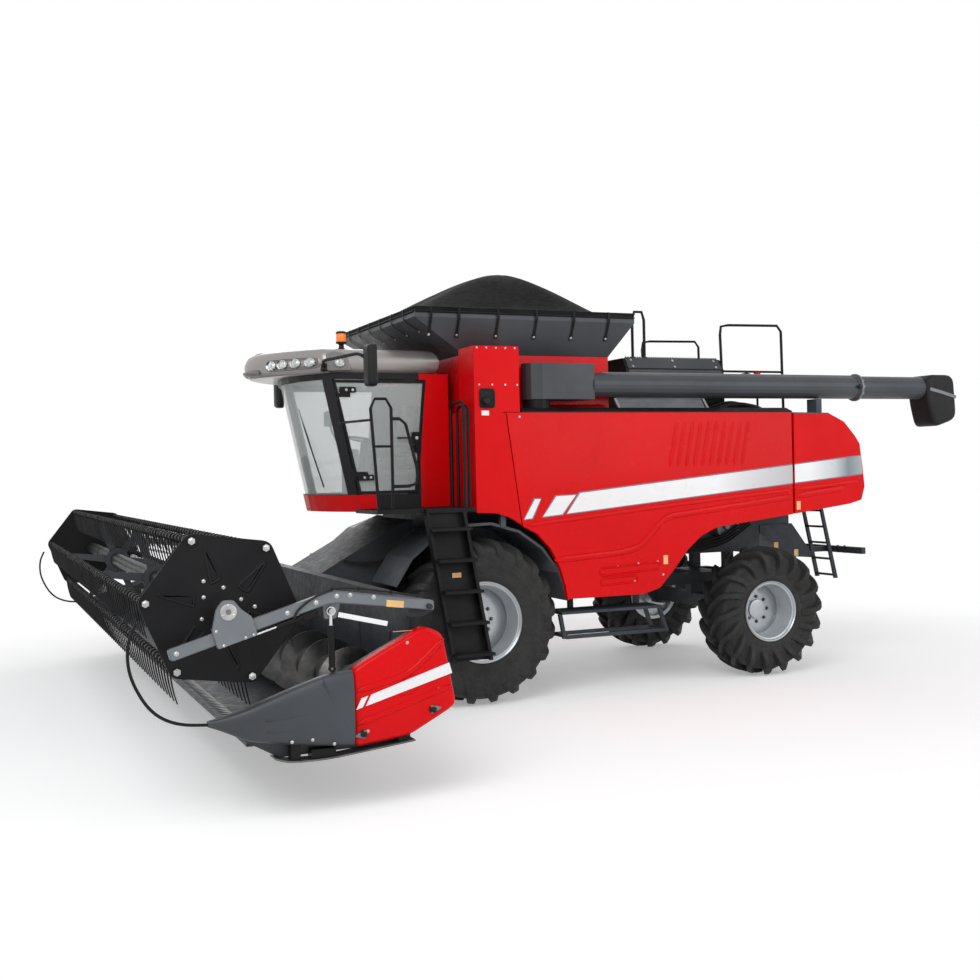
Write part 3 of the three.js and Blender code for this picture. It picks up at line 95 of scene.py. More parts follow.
def join(*shapes):
    """Several shapes as one."""
    corners, faces, start = [], [], 0
    for co, parts in shapes:
        corners.append(co)
        faces += [f + start for f in parts]
        start += len(co)
    return np.concatenate(corners), faces


def weld(shape):
    """Corners at one place become one corner, and faces left with fewer than three corners go."""
    co, faces = shape
    _, first, where = np.unique(np.round(co, 6), axis=0, return_index=True, return_inverse=True)
    kept = []
    for f in faces:
        f = where.ravel()[f]
        if f.shape[1] != 4:
            kept.append(f)
            continue
        same = f == np.roll(f, -1, axis=1)
        kept.append(f[same.sum(1) == 0])
        for k in range(4):
            rows = f[(same.sum(1) == 1) & same[:, k]]
            kept.append(np.delete(rows, k, axis=1))
    return co[first], [f for f in kept if len(f)]


def outward(shape):
    """A closed shape turned so that its faces point out: its signed volume is made positive."""
    co, faces = shape
    co0 = co - co.mean(0)
    volume = 0
    for f in faces:
        for k in range(1, f.shape[1] - 1):
            volume += np.einsum("ij,ij->", co0[f[:, 0]], np.cross(co0[f[:, k]], co0[f[:, k + 1]]))
    return shape if volume > 0 else (co, [f[:, ::-1] for f in faces])


def mirrored(shape):
    """The same shape on the machine's other side."""
    co, faces = shape
    return co * [1, -1, 1], [f[:, ::-1] for f in faces]


def on_side(shape, side):
    """A shape drawn for the left side, mirrored where side is -1."""
    return shape if side > 0 else mirrored(shape)


def copies(shape, turns, places):
    """One shape at many places: turns are 3 by 3 matrices, places are points."""
    co, faces = shape
    places = np.asarray(places, float).reshape(-1, 3)
    turns = np.broadcast_to(np.asarray(turns, float), (len(places), 3, 3))
    moved = np.einsum("kij,nj->kni", turns, co) + places[:, None]
    starts = np.arange(len(places)) * len(co)
    return moved.reshape(-1, 3), [(f[None] + starts[:, None, None]).reshape(-1, f.shape[1]) for f in faces]


def arc_corners(points, radius, steps=5):
    """A line of points with each inner corner replaced by a quadratic curve of the given reach."""
    p = np.asarray(points, float)
    line = [p[:1]]
    t = np.linspace(0, 1, steps)[:, None]
    for before, corner, after in zip(p[:-2], p[1:-1], p[2:]):
        a = corner + unit(before - corner) * min(radius, np.linalg.norm(before - corner) * 0.49)
        b = corner + unit(after - corner) * min(radius, np.linalg.norm(after - corner) * 0.49)
        line.append((1 - t) ** 2 * a + 2 * t * (1 - t) * corner + t**2 * b)
    return np.concatenate(line + [p[-1:]])


def swept(path, profile, up=(0, 0, 1), scale=None):
    """A closed profile of (side, up) points carried along a path, square to it, and scaled along the way."""
    path, profile = np.asarray(path, float), np.asarray(profile, float)
    along = unit(np.gradient(path, axis=0))
    side = unit(np.cross(along, np.asarray(up, float)))
    high = np.cross(side, along)
    size = np.ones(len(path)) if scale is None else np.asarray(scale, float)
    points = (
        path[:, None]
        + side[:, None] * (profile[None, :, :1] * size[:, None, None])
        + high[:, None] * (profile[None, :, 1:] * size[:, None, None])
    )
    return outward(grid(points, close_v=True, caps=True))


def circle(radius, count):
    """Points of a circle as (side, up) pairs."""
    t = np.linspace(0, 2 * np.pi, count, endpoint=False)
    return np.stack([radius * np.cos(t), radius * np.sin(t)], 1)


def tube(points, radius, reach=0.06, count=10, steps=5):
    """A round bar through points, with rounded corners."""
    return swept(arc_corners(points, reach, steps), circle(radius, count), BAR_UP)


def turned(profile, centre, axis="y", count=72, side=1):
    """A profile of (radius, along) points turned about an axis through the centre."""
    r, a = np.asarray(profile, float).T
    t = np.linspace(0, 2 * np.pi, count, endpoint=False)
    ring = np.stack([np.cos(t), np.sin(t)], 1)
    e = ACROSS_AND_ALONG[axis]
    points = np.zeros((len(t), len(r), 3))
    points[..., e[0]] = ring[:, None, 0] * r
    points[..., e[1]] = ring[:, None, 1] * r
    points[..., e[2]] = side * a
    points += np.asarray(centre, float)
    return outward(weld(grid(points, close_u=True, close_v=True)))


def inset(outline, d):
    """A closed outline moved inwards by d along the bisectors of its corners."""
    p = np.asarray(outline, float)
    area = np.sum(p[:, 0] * np.roll(p[:, 1], -1) - np.roll(p[:, 0], -1) * p[:, 1])
    e = unit(np.roll(p, -1, axis=0) - p)
    n = np.stack([-e[:, 1], e[:, 0]], 1) * np.sign(area)
    m = n + np.roll(n, 1, axis=0)
    m /= np.maximum(np.einsum("ij,ij->i", m, np.roll(n, 1, axis=0)), 0.35)[:, None]
    return p + m * d


def plate(outline, low, high, axis="y", edge=0.004):
    """A flat outline given a thickness along an axis, its rims chamfered by the edge size."""
    p = np.asarray(outline, float)
    rings = [(inset(p, edge), low), (p, low + edge), (p, high - edge), (inset(p, edge), high)]
    e = ACROSS_AND_ALONG[axis]
    points = np.zeros((4, len(p), 3))
    for k, (q, level) in enumerate(rings):
        points[k, :, e[0]], points[k, :, e[1]], points[k, :, e[2]] = q[:, 0], q[:, 1], level
    return outward(grid(points, close_v=True, caps=True))


def block(x0, x1, y0, y1, z0, z1, edge=0.005):
    """A rectangular piece with chamfered rims."""
    return plate([[x0, y0], [x1, y0], [x1, y1], [x0, y1]], z0, z1, "z", edge)


def turn_to(normal):
    """The matrix that turns +z to each normal."""
    n = unit(np.atleast_2d(np.asarray(normal, float)))
    a = unit(np.cross(np.where(np.abs(n[:, :1]) > 0.9, [[0.0, 1, 0]], [[1.0, 0, 0]]), n))
    return np.stack([a, np.cross(n, a), n], -1)


def bolts(points, normal, radius=0.011, height=0.008):
    """Domed six-sided heads on a washer, one at each point."""
    profile = [(0, height), (radius * 0.6, height), (radius, height * 0.7), (radius, 0.15 * height),
               (radius * 1.4, 0.15 * height), (radius * 1.4, -0.003), (0, -0.003)]
    head = turned(profile, (0, 0, 0), "z", 6)
    return copies(head, turn_to(normal), points)


def put(name, shape, finish, body="root", replaces=(), smooth=35, thick=0.0):
    """Makes a shape into a piece with one finish, lets it ride on a body, and hides the CAD parts that it
    stands for.
    """
    co, faces = shape
    mesh = bpy.data.meshes.new(name)
    corners = np.concatenate([f.ravel() for f in faces]).astype(np.int32)
    sizes = np.concatenate([np.full(len(f), f.shape[1]) for f in faces]).astype(np.int32)
    mesh.vertices.add(len(co))
    mesh.vertices.foreach_set("co", (co + [AXLE_X, 0, 0]).astype(np.float32).ravel())
    mesh.loops.add(len(corners))
    mesh.loops.foreach_set("vertex_index", corners)
    mesh.polygons.add(len(sizes))
    mesh.polygons.foreach_set("loop_start", np.concatenate([[0], np.cumsum(sizes)[:-1]]).astype(np.int32))
    mesh.update(calc_edges=True)
    mesh.validate()
    mesh.materials.append(finish)
    if smooth:
        mesh.shade_smooth()
        mesh.set_sharp_from_angle(angle=np.radians(smooth))
    else:
        mesh.shade_flat()
    piece = bpy.data.objects.new(name, mesh)
    bpy.context.scene.collection.objects.link(piece)
    if thick:
        wall = piece.modifiers.new("wall", "SOLIDIFY")
        wall.thickness, wall.offset = thick, -1
    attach(piece, body)
    if replaces:
        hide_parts(*([replaces] if isinstance(replaces, str) else replaces))
    return piece


# ---------------------------------------------------------------- finishes
def finish(name, slot, dark, light, rough=(0.3, 0.4), metal=0.0, size=3.0, grain=200.0, bump=0.02, coat=0.0,
           round_edges=0.0, spots=None, sheen=0.0, shine=0.5):
    """A surface whose colour drifts between two tones, with its own roughness range and fine grain.

    spots is an optional (colour, size, share) of a second colour that breaks through, as dust or wear."""
    material = bpy.data.materials.new(name)
    material.use_nodes = True
    material["slot"] = slot
    tree = material.node_tree
    new, link = tree.nodes.new, tree.links.new
    surface = tree.nodes["Principled BSDF"]
    place = new("ShaderNodeTexCoord").outputs["Object"]

    def noise(scale, detail=3.0):
        n = new("ShaderNodeTexNoise")
        n.inputs["Scale"].default_value, n.inputs["Detail"].default_value = scale, detail
        link(place, n.inputs["Vector"])
        return n.outputs["Fac"]

    def ramp(value, low, high, out_low=0.0, out_high=1.0):
        n = new("ShaderNodeMapRange")
        for key, v in zip(("From Min", "From Max", "To Min", "To Max"), (low, high, out_low, out_high)):
            n.inputs[key].default_value = v
        link(value, n.inputs["Value"])
        return n.outputs["Result"]

    def mix(share, a, b):
        n = new("ShaderNodeMix")
        n.data_type = "RGBA"
        link(share, n.inputs["Factor"])
        for socket, v in ((n.inputs["A"], a), (n.inputs["B"], b)):
            if isinstance(v, tuple):
                socket.default_value = (*v, 1)
            else:
                link(v, socket)
        return n.outputs["Result"]

    drift = noise(size, 4.0)
    colour = mix(ramp(drift, 0.3, 0.7), dark, light)
    if spots:
        colour = mix(ramp(noise(spots[1], 6.0), 1 - spots[2], 1.0), colour, spots[0])
    link(colour, surface.inputs["Base Color"])
    link(ramp(noise(size * 7), 0.3, 0.7, *rough), surface.inputs["Roughness"])
    fine = new("ShaderNodeBump")
    fine.inputs["Strength"].default_value, fine.inputs["Distance"].default_value = bump, 0.01
    link(noise(grain, 2.0), fine.inputs["Height"])
    if round_edges:
        soft = new("ShaderNodeBevel")
        soft.samples = 4
        soft.inputs["Radius"].default_value = round_edges
        link(soft.outputs["Normal"], fine.inputs["Normal"])
    link(fine.outputs["Normal"], surface.inputs["Normal"])
    surface.inputs["Metallic"].default_value = metal
    surface.inputs["Specular IOR Level"].default_value = shine
    surface.inputs["Coat Weight"].default_value = coat
    surface.inputs["Coat Roughness"].default_value = 0.08
    surface.inputs["Sheen Weight"].default_value = sheen
    return material


def see_through(name, slot, colour, cover, rough):
    """Tinted glass: a clear pane that covers what is behind it by a set share, a little uneven in its
    gloss."""
    material = finish(name, slot, colour, tuple(min(1.0, c * 1.06) for c in colour), rough, size=0.8,
                      bump=0.004, grain=3.0)
    surface = material.node_tree.nodes["Principled BSDF"]
    surface.inputs["Alpha"].default_value = cover
    surface.inputs["IOR"].default_value = 1.5
    return material


def glowing(material, colour, strength):
    """The same finish with a painted glow of its own, standing in for daylight that a lens catches."""
    surface = material.node_tree.nodes["Principled BSDF"]
    surface.inputs["Emission Color"].default_value = (*colour, 1)
    surface.inputs["Emission Strength"].default_value = strength
    return material


RED_TONES = ((0.60, 0.001, 0.003), (0.69, 0.002, 0.004))
RED = finish("red_gloss", "red_paint", *RED_TONES, (0.2, 0.3), size=0.7, coat=0.04,
             bump=0.006, round_edges=0.008, shine=0.12)
GREY = finish("grey_satin", "dark_grey_paint", (0.044, 0.048, 0.054), (0.060, 0.066, 0.074), (0.36, 0.48),
              metal=0.15, size=1.5, bump=0.02, round_edges=0.006, shine=0.3)
STEEL_GREY = finish("steel_grey", "dark_grey_paint", (0.13, 0.145, 0.16), (0.175, 0.19, 0.205), (0.34, 0.46),
                    metal=0.2, size=2.5, bump=0.02, round_edges=0.005)
BLACK = finish("black_satin", "black_paint", (0.006, 0.006, 0.007), (0.012, 0.012, 0.013), (0.34, 0.5),
               size=2.0, bump=0.03, round_edges=0.005, shine=0.14)
DARK_STEEL = finish("machinery_grey", "dark_grey_paint", (0.024, 0.028, 0.033), (0.048, 0.054, 0.062),
                    (0.4, 0.6), metal=0.2, size=2.2, bump=0.04, round_edges=0.006, shine=0.25)
PEWTER = finish("pewter_metallic", "roof_paint", (0.25, 0.235, 0.225), (0.34, 0.32, 0.31), (0.28, 0.36),
                metal=0.55, size=0.9, grain=900.0, bump=0.012, coat=0.3, round_edges=0.008)
RUBBER = finish("tyre_rubber", "tyre_rubber", (0.012, 0.012, 0.012), (0.027, 0.026, 0.025), (0.55, 0.78),
                size=5.0, grain=120.0, bump=0.06, shine=0.3, spots=((0.06, 0.05, 0.04), 26.0, 0.3))
RIM = finish("rim_silver", "rim_paint", (0.42, 0.45, 0.47), (0.52, 0.55, 0.57), (0.28, 0.4), metal=0.45,
             size=3.0, bump=0.015, round_edges=0.004)
CHROME = finish("bright_steel", "steel", (0.6, 0.61, 0.62), (0.72, 0.73, 0.74), (0.12, 0.22), metal=1.0,
                size=12.0, bump=0.01)
STEEL = finish("plated_steel", "steel", (0.38, 0.38, 0.38), (0.55, 0.55, 0.54), (0.25, 0.42), metal=0.9,
               size=9.0, bump=0.02)
WORN_STEEL = finish("worn_steel", "steel", (0.06, 0.06, 0.062), (0.17, 0.165, 0.16), (0.28, 0.5), metal=0.8,
                    size=6.0, bump=0.05, spots=((0.16, 0.1, 0.07), 14.0, 0.42))
PLASTIC = finish("black_plastic", "black_plastic", (0.007, 0.007, 0.008), (0.014, 0.014, 0.015), (0.42, 0.56),
                 size=4.0, grain=500.0, bump=0.06, shine=0.2)
SOFT_GREY = finish("trim_grey", "black_plastic", (0.2, 0.21, 0.215), (0.26, 0.27, 0.275), (0.55, 0.7),
                   size=3.0, grain=420.0, bump=0.05)
CLOTH = finish("cover_cloth", "cover_cloth", (0.008, 0.008, 0.009), (0.017, 0.017, 0.018), (0.62, 0.78),
               size=2.4, grain=260.0, bump=0.10, shine=0.04)
WHITE = finish("stripe_white", "roof_paint", (0.76, 0.76, 0.77), (0.82, 0.82, 0.83), (0.3, 0.4), size=2.0,
               bump=0.006)
TAN = finish("blank_plate", "roof_paint", (0.72, 0.42, 0.16), (0.8, 0.5, 0.2), (0.4, 0.5), size=8.0,
             bump=0.01)
# The beacon's dome is not lit: its faint emission is a painted glow for the daylight that its amber lens
# catches.
AMBER = glowing(finish("amber_lens", "glass", (0.86, 0.16, 0.01), (0.95, 0.24, 0.02), (0.1, 0.2), size=30.0,
                       bump=0.03), (1.0, 0.2, 0.01), 0.25)
LENS = finish("clear_lens", "glass", (0.30, 0.31, 0.31), (0.86, 0.87, 0.87), (0.05, 0.12), metal=0.3,
              size=34.0, bump=0.12, grain=90.0)
RED_LENS = finish("red_lens", "glass", (0.4, 0.005, 0.005), (0.55, 0.01, 0.01), (0.08, 0.16), size=30.0,
                  bump=0.04, grain=160.0)
MIRROR = finish("mirror_glass", "glass", (0.72, 0.74, 0.75), (0.78, 0.8, 0.81), (0.02, 0.05), metal=1.0,
                size=1.0, bump=0.0)
PANE = see_through("tinted_pane", "glass", (0.72, 0.78, 0.77), 0.30, (0.03, 0.06))
SEAT_CLOTH = finish("seat_cloth", "cover_cloth", (0.035, 0.037, 0.042), (0.06, 0.062, 0.07), (0.75, 0.9),
                    size=20.0, grain=520.0, bump=0.25, sheen=0.4)
SCREEN = finish("radiator_screen", "dark_grey_paint", (0.42, 0.44, 0.45), (0.55, 0.57, 0.58), (0.45, 0.6),
                metal=0.5, size=6.0, grain=300.0, bump=0.3)


def split_finish(name, slot, inside, rules):
    """A finish for a node painted in several colours. Each rule is a list of tests (axis, at, above) and a
    tone: its tone shows where the product of its tests, each 1 or 0, is 1, and the last rule that holds
    wins."""
    material = finish(name, slot, *inside, (0.3, 0.44), size=1.2, bump=0.02, round_edges=0.006, shine=0.12)
    tree = material.node_tree
    new, link = tree.nodes.new, tree.links.new
    surface = tree.nodes["Principled BSDF"]
    colour = surface.inputs["Base Color"].links[0].from_socket
    split = new("ShaderNodeSeparateXYZ")
    link(new("ShaderNodeTexCoord").outputs["Object"], split.inputs[0])
    for tests, tone in rules:
        share = None
        for axis, at, above in tests:
            test = new("ShaderNodeMath")
            test.operation = "GREATER_THAN" if above else "LESS_THAN"
            link(split.outputs[axis], test.inputs[0])
            test.inputs[1].default_value = at + (AXLE_X if axis == "X" else 0)
            both = test.outputs[0]
            if share is not None:
                times = new("ShaderNodeMath")
                times.operation = "MULTIPLY"
                link(share, times.inputs[0])
                link(both, times.inputs[1])
                both = times.outputs[0]
            share = both
        mix = new("ShaderNodeMix")
        mix.data_type = "RGBA"
        link(share, mix.inputs["Factor"])
        link(colour, mix.inputs["A"])
        mix.inputs["B"].default_value = (*tone, 1)
        colour = mix.outputs["Result"]
    link(colour, surface.inputs["Base Color"])
    return material


CAB_RED = (0.64, 0.0015, 0.0035)
SLATE = (0.07, 0.078, 0.087)
# The cab is red at its front below the sill and on its rear corners, and black elsewhere.
SILL_TOP, SILL_REAR, APRON_REAR = 2.262, 0.93, 1.09
CORNER_FRONT, CORNER_INSIDE, CAB_FLOOR = 0.43, 0.93, 2.1
CAB_PAINT = split_finish(
    "cab_paint", "black_paint", ((0.012, 0.012, 0.013), (0.02, 0.02, 0.022)),
    [
        ([("Z", SILL_TOP, False), ("Y", 0.60, True), ("X", SILL_REAR, True)], CAB_RED),
        ([("Z", SILL_TOP, False), ("Y", -0.60, False), ("X", SILL_REAR, True)], CAB_RED),
        ([("Z", SILL_TOP, False), ("X", APRON_REAR, True)], CAB_RED),
        ([("X", CORNER_FRONT, False), ("Y", CORNER_INSIDE, True), ("Z", CAB_FLOOR, True)], CAB_RED),
        ([("X", CORNER_FRONT, False), ("Y", -CORNER_INSIDE, False), ("Z", CAB_FLOOR, True)], CAB_RED),
    ],
)

PANEL_PAINT = split_finish(
    "panel_paint", "red_paint", RED_TONES,
    [([("Z", 2.10, False), ("Y", 1.585, False), ("Y", -1.585, True)], SLATE)],
)
HOOD_PAINT = split_finish("hood_paint", "red_paint", RED_TONES,
                          [([("Z", 3.085, True)], SLATE)])

# Finishes of the CAD nodes that stay as they are.
kept_finishes = {
    PANEL_PAINT: ["left_front_panel", "right_front_panel"],
    RED: ["left_side_door", "right_side_door", "grain_tank"],
    HOOD_PAINT: ["rear_hood"],
    GREY: ["tank_extension", "unloading_auger_tube"],
    DARK_STEEL: ["body_core", "engine", "main_frame", "front_axle", "rear_axle", "left_knuckle",
                 "right_knuckle", "straw_chopper", "feeder_house", "header_frame"],
    BLACK: ["service_deck", "access_platform", "entry_ladder", "cab_door_frame", "left_lift_barrel",
            "right_lift_barrel", "left_reel_barrel", "right_reel_barrel"],
    CAB_PAINT: ["cab_frame"],
    CHROME: ["left_lift_rod", "right_lift_rod", "left_reel_rod", "right_reel_rod"],
    PANE: ["cab_windscreen", "cab_right_window", "cab_door_glass"],
}
for material, names in kept_finishes.items():
    for name in names:
        cad = nodes[name]
        if not cad.material_slots:
            cad.data.materials.append(None)
        for cell in cad.material_slots:
            cell.link = "OBJECT"
            cell.material = material


# ---------------------------------------------------------------- wheels
# x and y are the wheel's centre, r its radius, half its half width, rim the rim's radius and dish how far
# out its disc lies. A tyre has this many lugs of this depth, which run from one share of the way to the bead
# to another, lean and curl by an angle, and have bar as their half width.
FRONT = {"x": 0.0, "r": 0.890, "half": 0.390, "rim": 0.406, "y": 1.262, "dish": 0.060,
         "lugs": 20, "depth": 0.052, "from": 0.015, "to": 0.62, "lean": 0.30, "curl": 0.0, "bar": 0.030}
REAR = {"x": -3.700, "r": 0.762, "half": 0.240, "rim": 0.330, "y": 1.340, "dish": -0.120,
        "lugs": 18, "depth": 0.070, "from": 0.012, "to": 0.80, "lean": 0.44, "curl": 0.10, "bar": 0.026}


def carcass(w, count=64):
    """Half of a tyre's outline from the crown at u = 0 over the shoulder to the bead at u = 1, as (radius,
    along): a flattened crown that turns into a round side wall."""
    u = np.linspace(0, 1, count)
    crown = w["r"] - w["depth"]
    bead = w["rim"] + 0.003
    t = u * np.pi / 2 * 1.36
    across = np.abs(np.sin(np.minimum(t, np.pi / 2))) ** 0.62 * (w["half"] - 0.012)
    fall = (1 - np.cos(np.minimum(t, np.pi / 2)) ** 0.36) * (crown - bead) * 0.42
    radius = crown - fall
    late = np.clip((t - np.pi / 2) / (np.pi / 2 * 0.36), 0, 1)
    radius = radius - late * (radius - bead)
    across = across - late**2.2 * 0.034
    return radius, across


def tyre(w, side):
    """The carcass turned about the axle, with raised rings on its side walls."""
    radius, across = carcass(w)
    wall = np.clip((np.linspace(0, 1, len(radius)) - 0.72) / 0.2, 0, 1)
    low_ring = 0.005 * np.exp(-((wall - 0.35) / 0.08) ** 2)
    high_ring = 0.006 * np.exp(-((wall - 0.95) / 0.1) ** 2)
    across = across + low_ring + high_ring
    profile = np.concatenate([
        np.stack([radius, across], 1)[::-1],
        np.stack([radius, -across], 1)[1:],
    ])
    return turned(profile, (w["x"], side * w["y"], w["r"]), "y", 144, side=side)


def lugs(w, side):
    """Bars laid on the carcass in two rows that meet in a V: each bar starts near the middle of the tread,
    leans back as it goes out, follows the carcass over the shoulder and fades into the side wall."""
    radius, across = carcass(w, 200)
    s = np.linspace(w["from"], w["to"], 14)
    u = np.linspace(0, 1, 200)
    step = np.concatenate([[0], np.cumsum(np.hypot(np.diff(radius), np.diff(across)))])
    share = step / step[-1]
    here = np.interp(s, share, u)
    r, a = np.interp(here, u, radius), np.interp(here, u, across)
    dr, da = np.interp(here, u, np.gradient(radius)), np.interp(here, u, np.gradient(across))
    n = unit(np.stack([da, -dr], 1))
    grow = np.clip((s - w["from"]) / (w["to"] - w["from"]), 0, 1)
    height = (w["depth"] - 0.001) * (1 - np.clip((grow - 0.52) / 0.48, 0, 1) ** 1.6 * 0.93)
    turn = w["lean"] * grow + w["curl"] * np.sin(np.pi * grow)
    wide = w["bar"] * (1 + 0.45 * grow)
    ends = np.array([0.8, 1, *np.ones(10), 1, 0.8])
    # A section of six corners: foot, shoulder and top on each flank; (flank, height share).
    section = [(-1.35, -0.10), (-1.0, 0.82), (-0.86, 1.0), (0.86, 1.0), (1.0, 0.82), (1.35, -0.10)]
    rings = []
    for flank, tall in section:
        out = r + n[:, 0] * height * tall * ends
        off = a + n[:, 1] * height * tall * ends
        phi = turn + flank * wide / np.maximum(r, 0.3)
        rings.append(np.stack([out * np.cos(phi), off, out * np.sin(phi)], 1))
    bar = outward(grid(np.stack(rings, 1), close_v=True, caps=True))
    spread = np.linspace(0, 2 * np.pi, w["lugs"], endpoint=False)

    def row(shape, start):
        """One bar at every place of its row round the tyre."""
        t = spread + start
        turns = np.zeros((len(t), 3, 3))
        turns[:, 0, 0], turns[:, 0, 2] = np.cos(t), -np.sin(t)
        turns[:, 2, 0], turns[:, 2, 2] = np.sin(t), np.cos(t)
        turns[:, 1, 1] = 1
        return copies(shape, turns, np.tile([w["x"], side * w["y"], w["r"]], (len(t), 1)))
    return join(row(bar, 0), row(mirrored(bar), np.pi / w["lugs"]))


def rim(w, side, steps, disc):
    """The rim's barrel with its stepped gutters, and the dished disc with its hub, as one closed outline
    turned about the axle; the steps are (radius, along) points from the outer flange to the disc."""
    flange = w["half"] - 0.030
    inner = w["rim"] - 0.014
    profile = [(0, disc[-1][1]), *disc[::-1], (inner - 0.004, w["dish"] + 0.012), *steps,
               (w["rim"] + 0.022, flange + 0.004), (w["rim"] + 0.026, flange + 0.010),
               (w["rim"] + 0.026, flange), (w["rim"], flange - 0.004), (w["rim"], -flange + 0.004),
               (w["rim"] + 0.026, -flange), (w["rim"] + 0.026, -flange - 0.010), (inner, -flange + 0.002),
               (inner, w["dish"] - 0.010), (0.16, w["dish"] - 0.010), (0.14, w["dish"] - 0.05),
               (0, w["dish"] - 0.05)]
    return turned(profile, (w["x"], side * w["y"], w["r"]), "y", 112, side=side)


def wheel_nuts(w, side, radius, count, along):
    """Nuts and stud ends in a ring on the disc."""
    t = np.linspace(0, 2 * np.pi, count, endpoint=False)
    places = np.stack([w["x"] + radius * np.cos(t), np.full(count, side * (w["y"] + along)),
                       w["r"] + radius * np.sin(t)], 1)
    return bolts(places, (0, side, 0), 0.017, 0.026)


FRONT_STEPS = [(0.372, 0.095), (0.356, 0.150), (0.366, 0.162), (0.366, 0.210), (0.374, 0.222), (0.376, 0.262),
               (0.384, 0.276), (0.386, 0.320), (0.394, 0.352)]
FRONT_DISC = [(0.360, 0.074), (0.300, 0.098), (0.235, 0.104), (0.205, 0.100), (0.150, 0.100), (0.148, 0.126),
              (0.110, 0.134), (0.040, 0.136), (0.0, 0.136)]
REAR_STEPS = [(0.300, -0.088), (0.290, -0.030), (0.296, -0.018), (0.298, 0.070), (0.306, 0.082),
              (0.308, 0.150), (0.316, 0.196)]
REAR_DISC = [(0.285, -0.104), (0.235, -0.084), (0.185, -0.080), (0.150, -0.082), (0.118, -0.082),
             (0.114, -0.050), (0.080, -0.044), (0.0, -0.044)]
for word, side in SIDES.items():
    for end, w, steps, disc, ring in (
        ("front", FRONT, FRONT_STEPS, FRONT_DISC, (0.186, 10, 0.1)),
        ("rear", REAR, REAR_STEPS, REAR_DISC, (0.150, 8, -0.082)),
    ):
        name, body = f"{word}_{end}", f"{word}_{end}_wheel"
        put(f"{name}_carcass", tyre(w, side), RUBBER, body, replaces=f"{name}_tyre", smooth=50)
        put(f"{name}_lugs", lugs(w, side), RUBBER, body, smooth=38)
        put(f"{name}_wheel", rim(w, side, steps, disc), RIM, body, replaces=f"{name}_rim", smooth=40)
        put(f"{name}_nuts", wheel_nuts(w, side, *ring), WORN_STEEL, body, smooth=0)


# ---------------------------------------------------------------- side panels
PANEL_Y = 1.62
DOOR_REAR = -3.998
HOOD_FRONT = -4.03


def banded(name, slot, low, high, stops):
    """A finish whose colour runs along x from low to high through the stops, pairs of (share, tone)."""
    material = finish(name, slot, (0.8, 0.8, 0.81), (0.84, 0.84, 0.85), (0.26, 0.34), size=1.0, bump=0.006)
    tree = material.node_tree
    new, link = tree.nodes.new, tree.links.new
    surface = tree.nodes["Principled BSDF"]
    base = surface.inputs["Base Color"].links[0].from_socket
    split, along = new("ShaderNodeSeparateXYZ"), new("ShaderNodeMapRange")
    link(new("ShaderNodeTexCoord").outputs["Object"], split.inputs[0])
    link(split.outputs["X"], along.inputs["Value"])
    along.inputs["From Min"].default_value = low + AXLE_X
    along.inputs["From Max"].default_value = high + AXLE_X
    band = new("ShaderNodeValToRGB")
    while len(band.color_ramp.elements) < len(stops):
        band.color_ramp.elements.new(0.5)
    for cell, (share, tone) in zip(band.color_ramp.elements, stops):
        cell.position, cell.color = share, (*tone, 1)
    link(along.outputs["Result"], band.inputs["Fac"])
    mix = new("ShaderNodeMix")
    mix.data_type, mix.blend_type = "RGBA", "MULTIPLY"
    mix.inputs["Factor"].default_value = 1.0
    link(base, mix.inputs["A"])
    link(band.outputs["Color"], mix.inputs["B"])
    link(mix.outputs["Result"], surface.inputs["Base Color"])
    return material


DOOR_BAND = banded("stripe_door", "roof_paint", DOOR_REAR, -1.0,
                   [(0.0, (0.58, 0.57, 0.58)), (0.16, (0.74, 0.73, 0.74)), (0.36, (1, 1, 1)),
                    (1.0, (1, 0.99, 0.98))])
HOOD_BAND = banded("stripe_hood", "roof_paint", -5.04, HOOD_FRONT,
                   [(0.0, (0.42, 0.45, 0.46)), (0.22, (0.2, 0.25, 0.27)), (0.42, (0.62, 0.67, 0.69)),
                    (0.78, (1, 1, 1)), (1.0, (1, 1, 1))])
OUTLINE = finish("stripe_outline", "roof_paint", (0.1, 0.17, 0.22), (0.14, 0.22, 0.27), (0.3, 0.4), size=3.0,
                 bump=0.006)


def bead(path, width, height, y=PANEL_Y, reach=0.1):
    """A pressed bead that stands out of a side sheet. The path is a line of (x, z) points with rounded
    corners; its section is a low arch of five points, height times 1, 0.75 and 0 across the width, and it
    dies away at its ends."""
    p = np.asarray(path, float)
    line = arc_corners(np.stack([p[:, 0], np.full(len(p), y), p[:, 1]], 1), reach, 7)
    steps = np.concatenate([[0], np.cumsum(np.linalg.norm(np.diff(line, axis=0), axis=1))])
    t = np.linspace(0, steps[-1], max(12, int(steps[-1] / 0.06)))
    line = np.stack([np.interp(t, steps, line[:, k]) for k in range(3)], 1)
    w = width / 2
    arch = [(-w, -0.004), (-w, 0), (-0.55 * w, 0.75 * height), (0, height), (0.55 * w, 0.75 * height), (w, 0),
            (w, -0.004)]
    ends = np.minimum(1, np.minimum(t, t[-1] - t) / (1.2 * width) + 0.25)
    return swept(line, arch, (0, 1, 0), scale=ends)


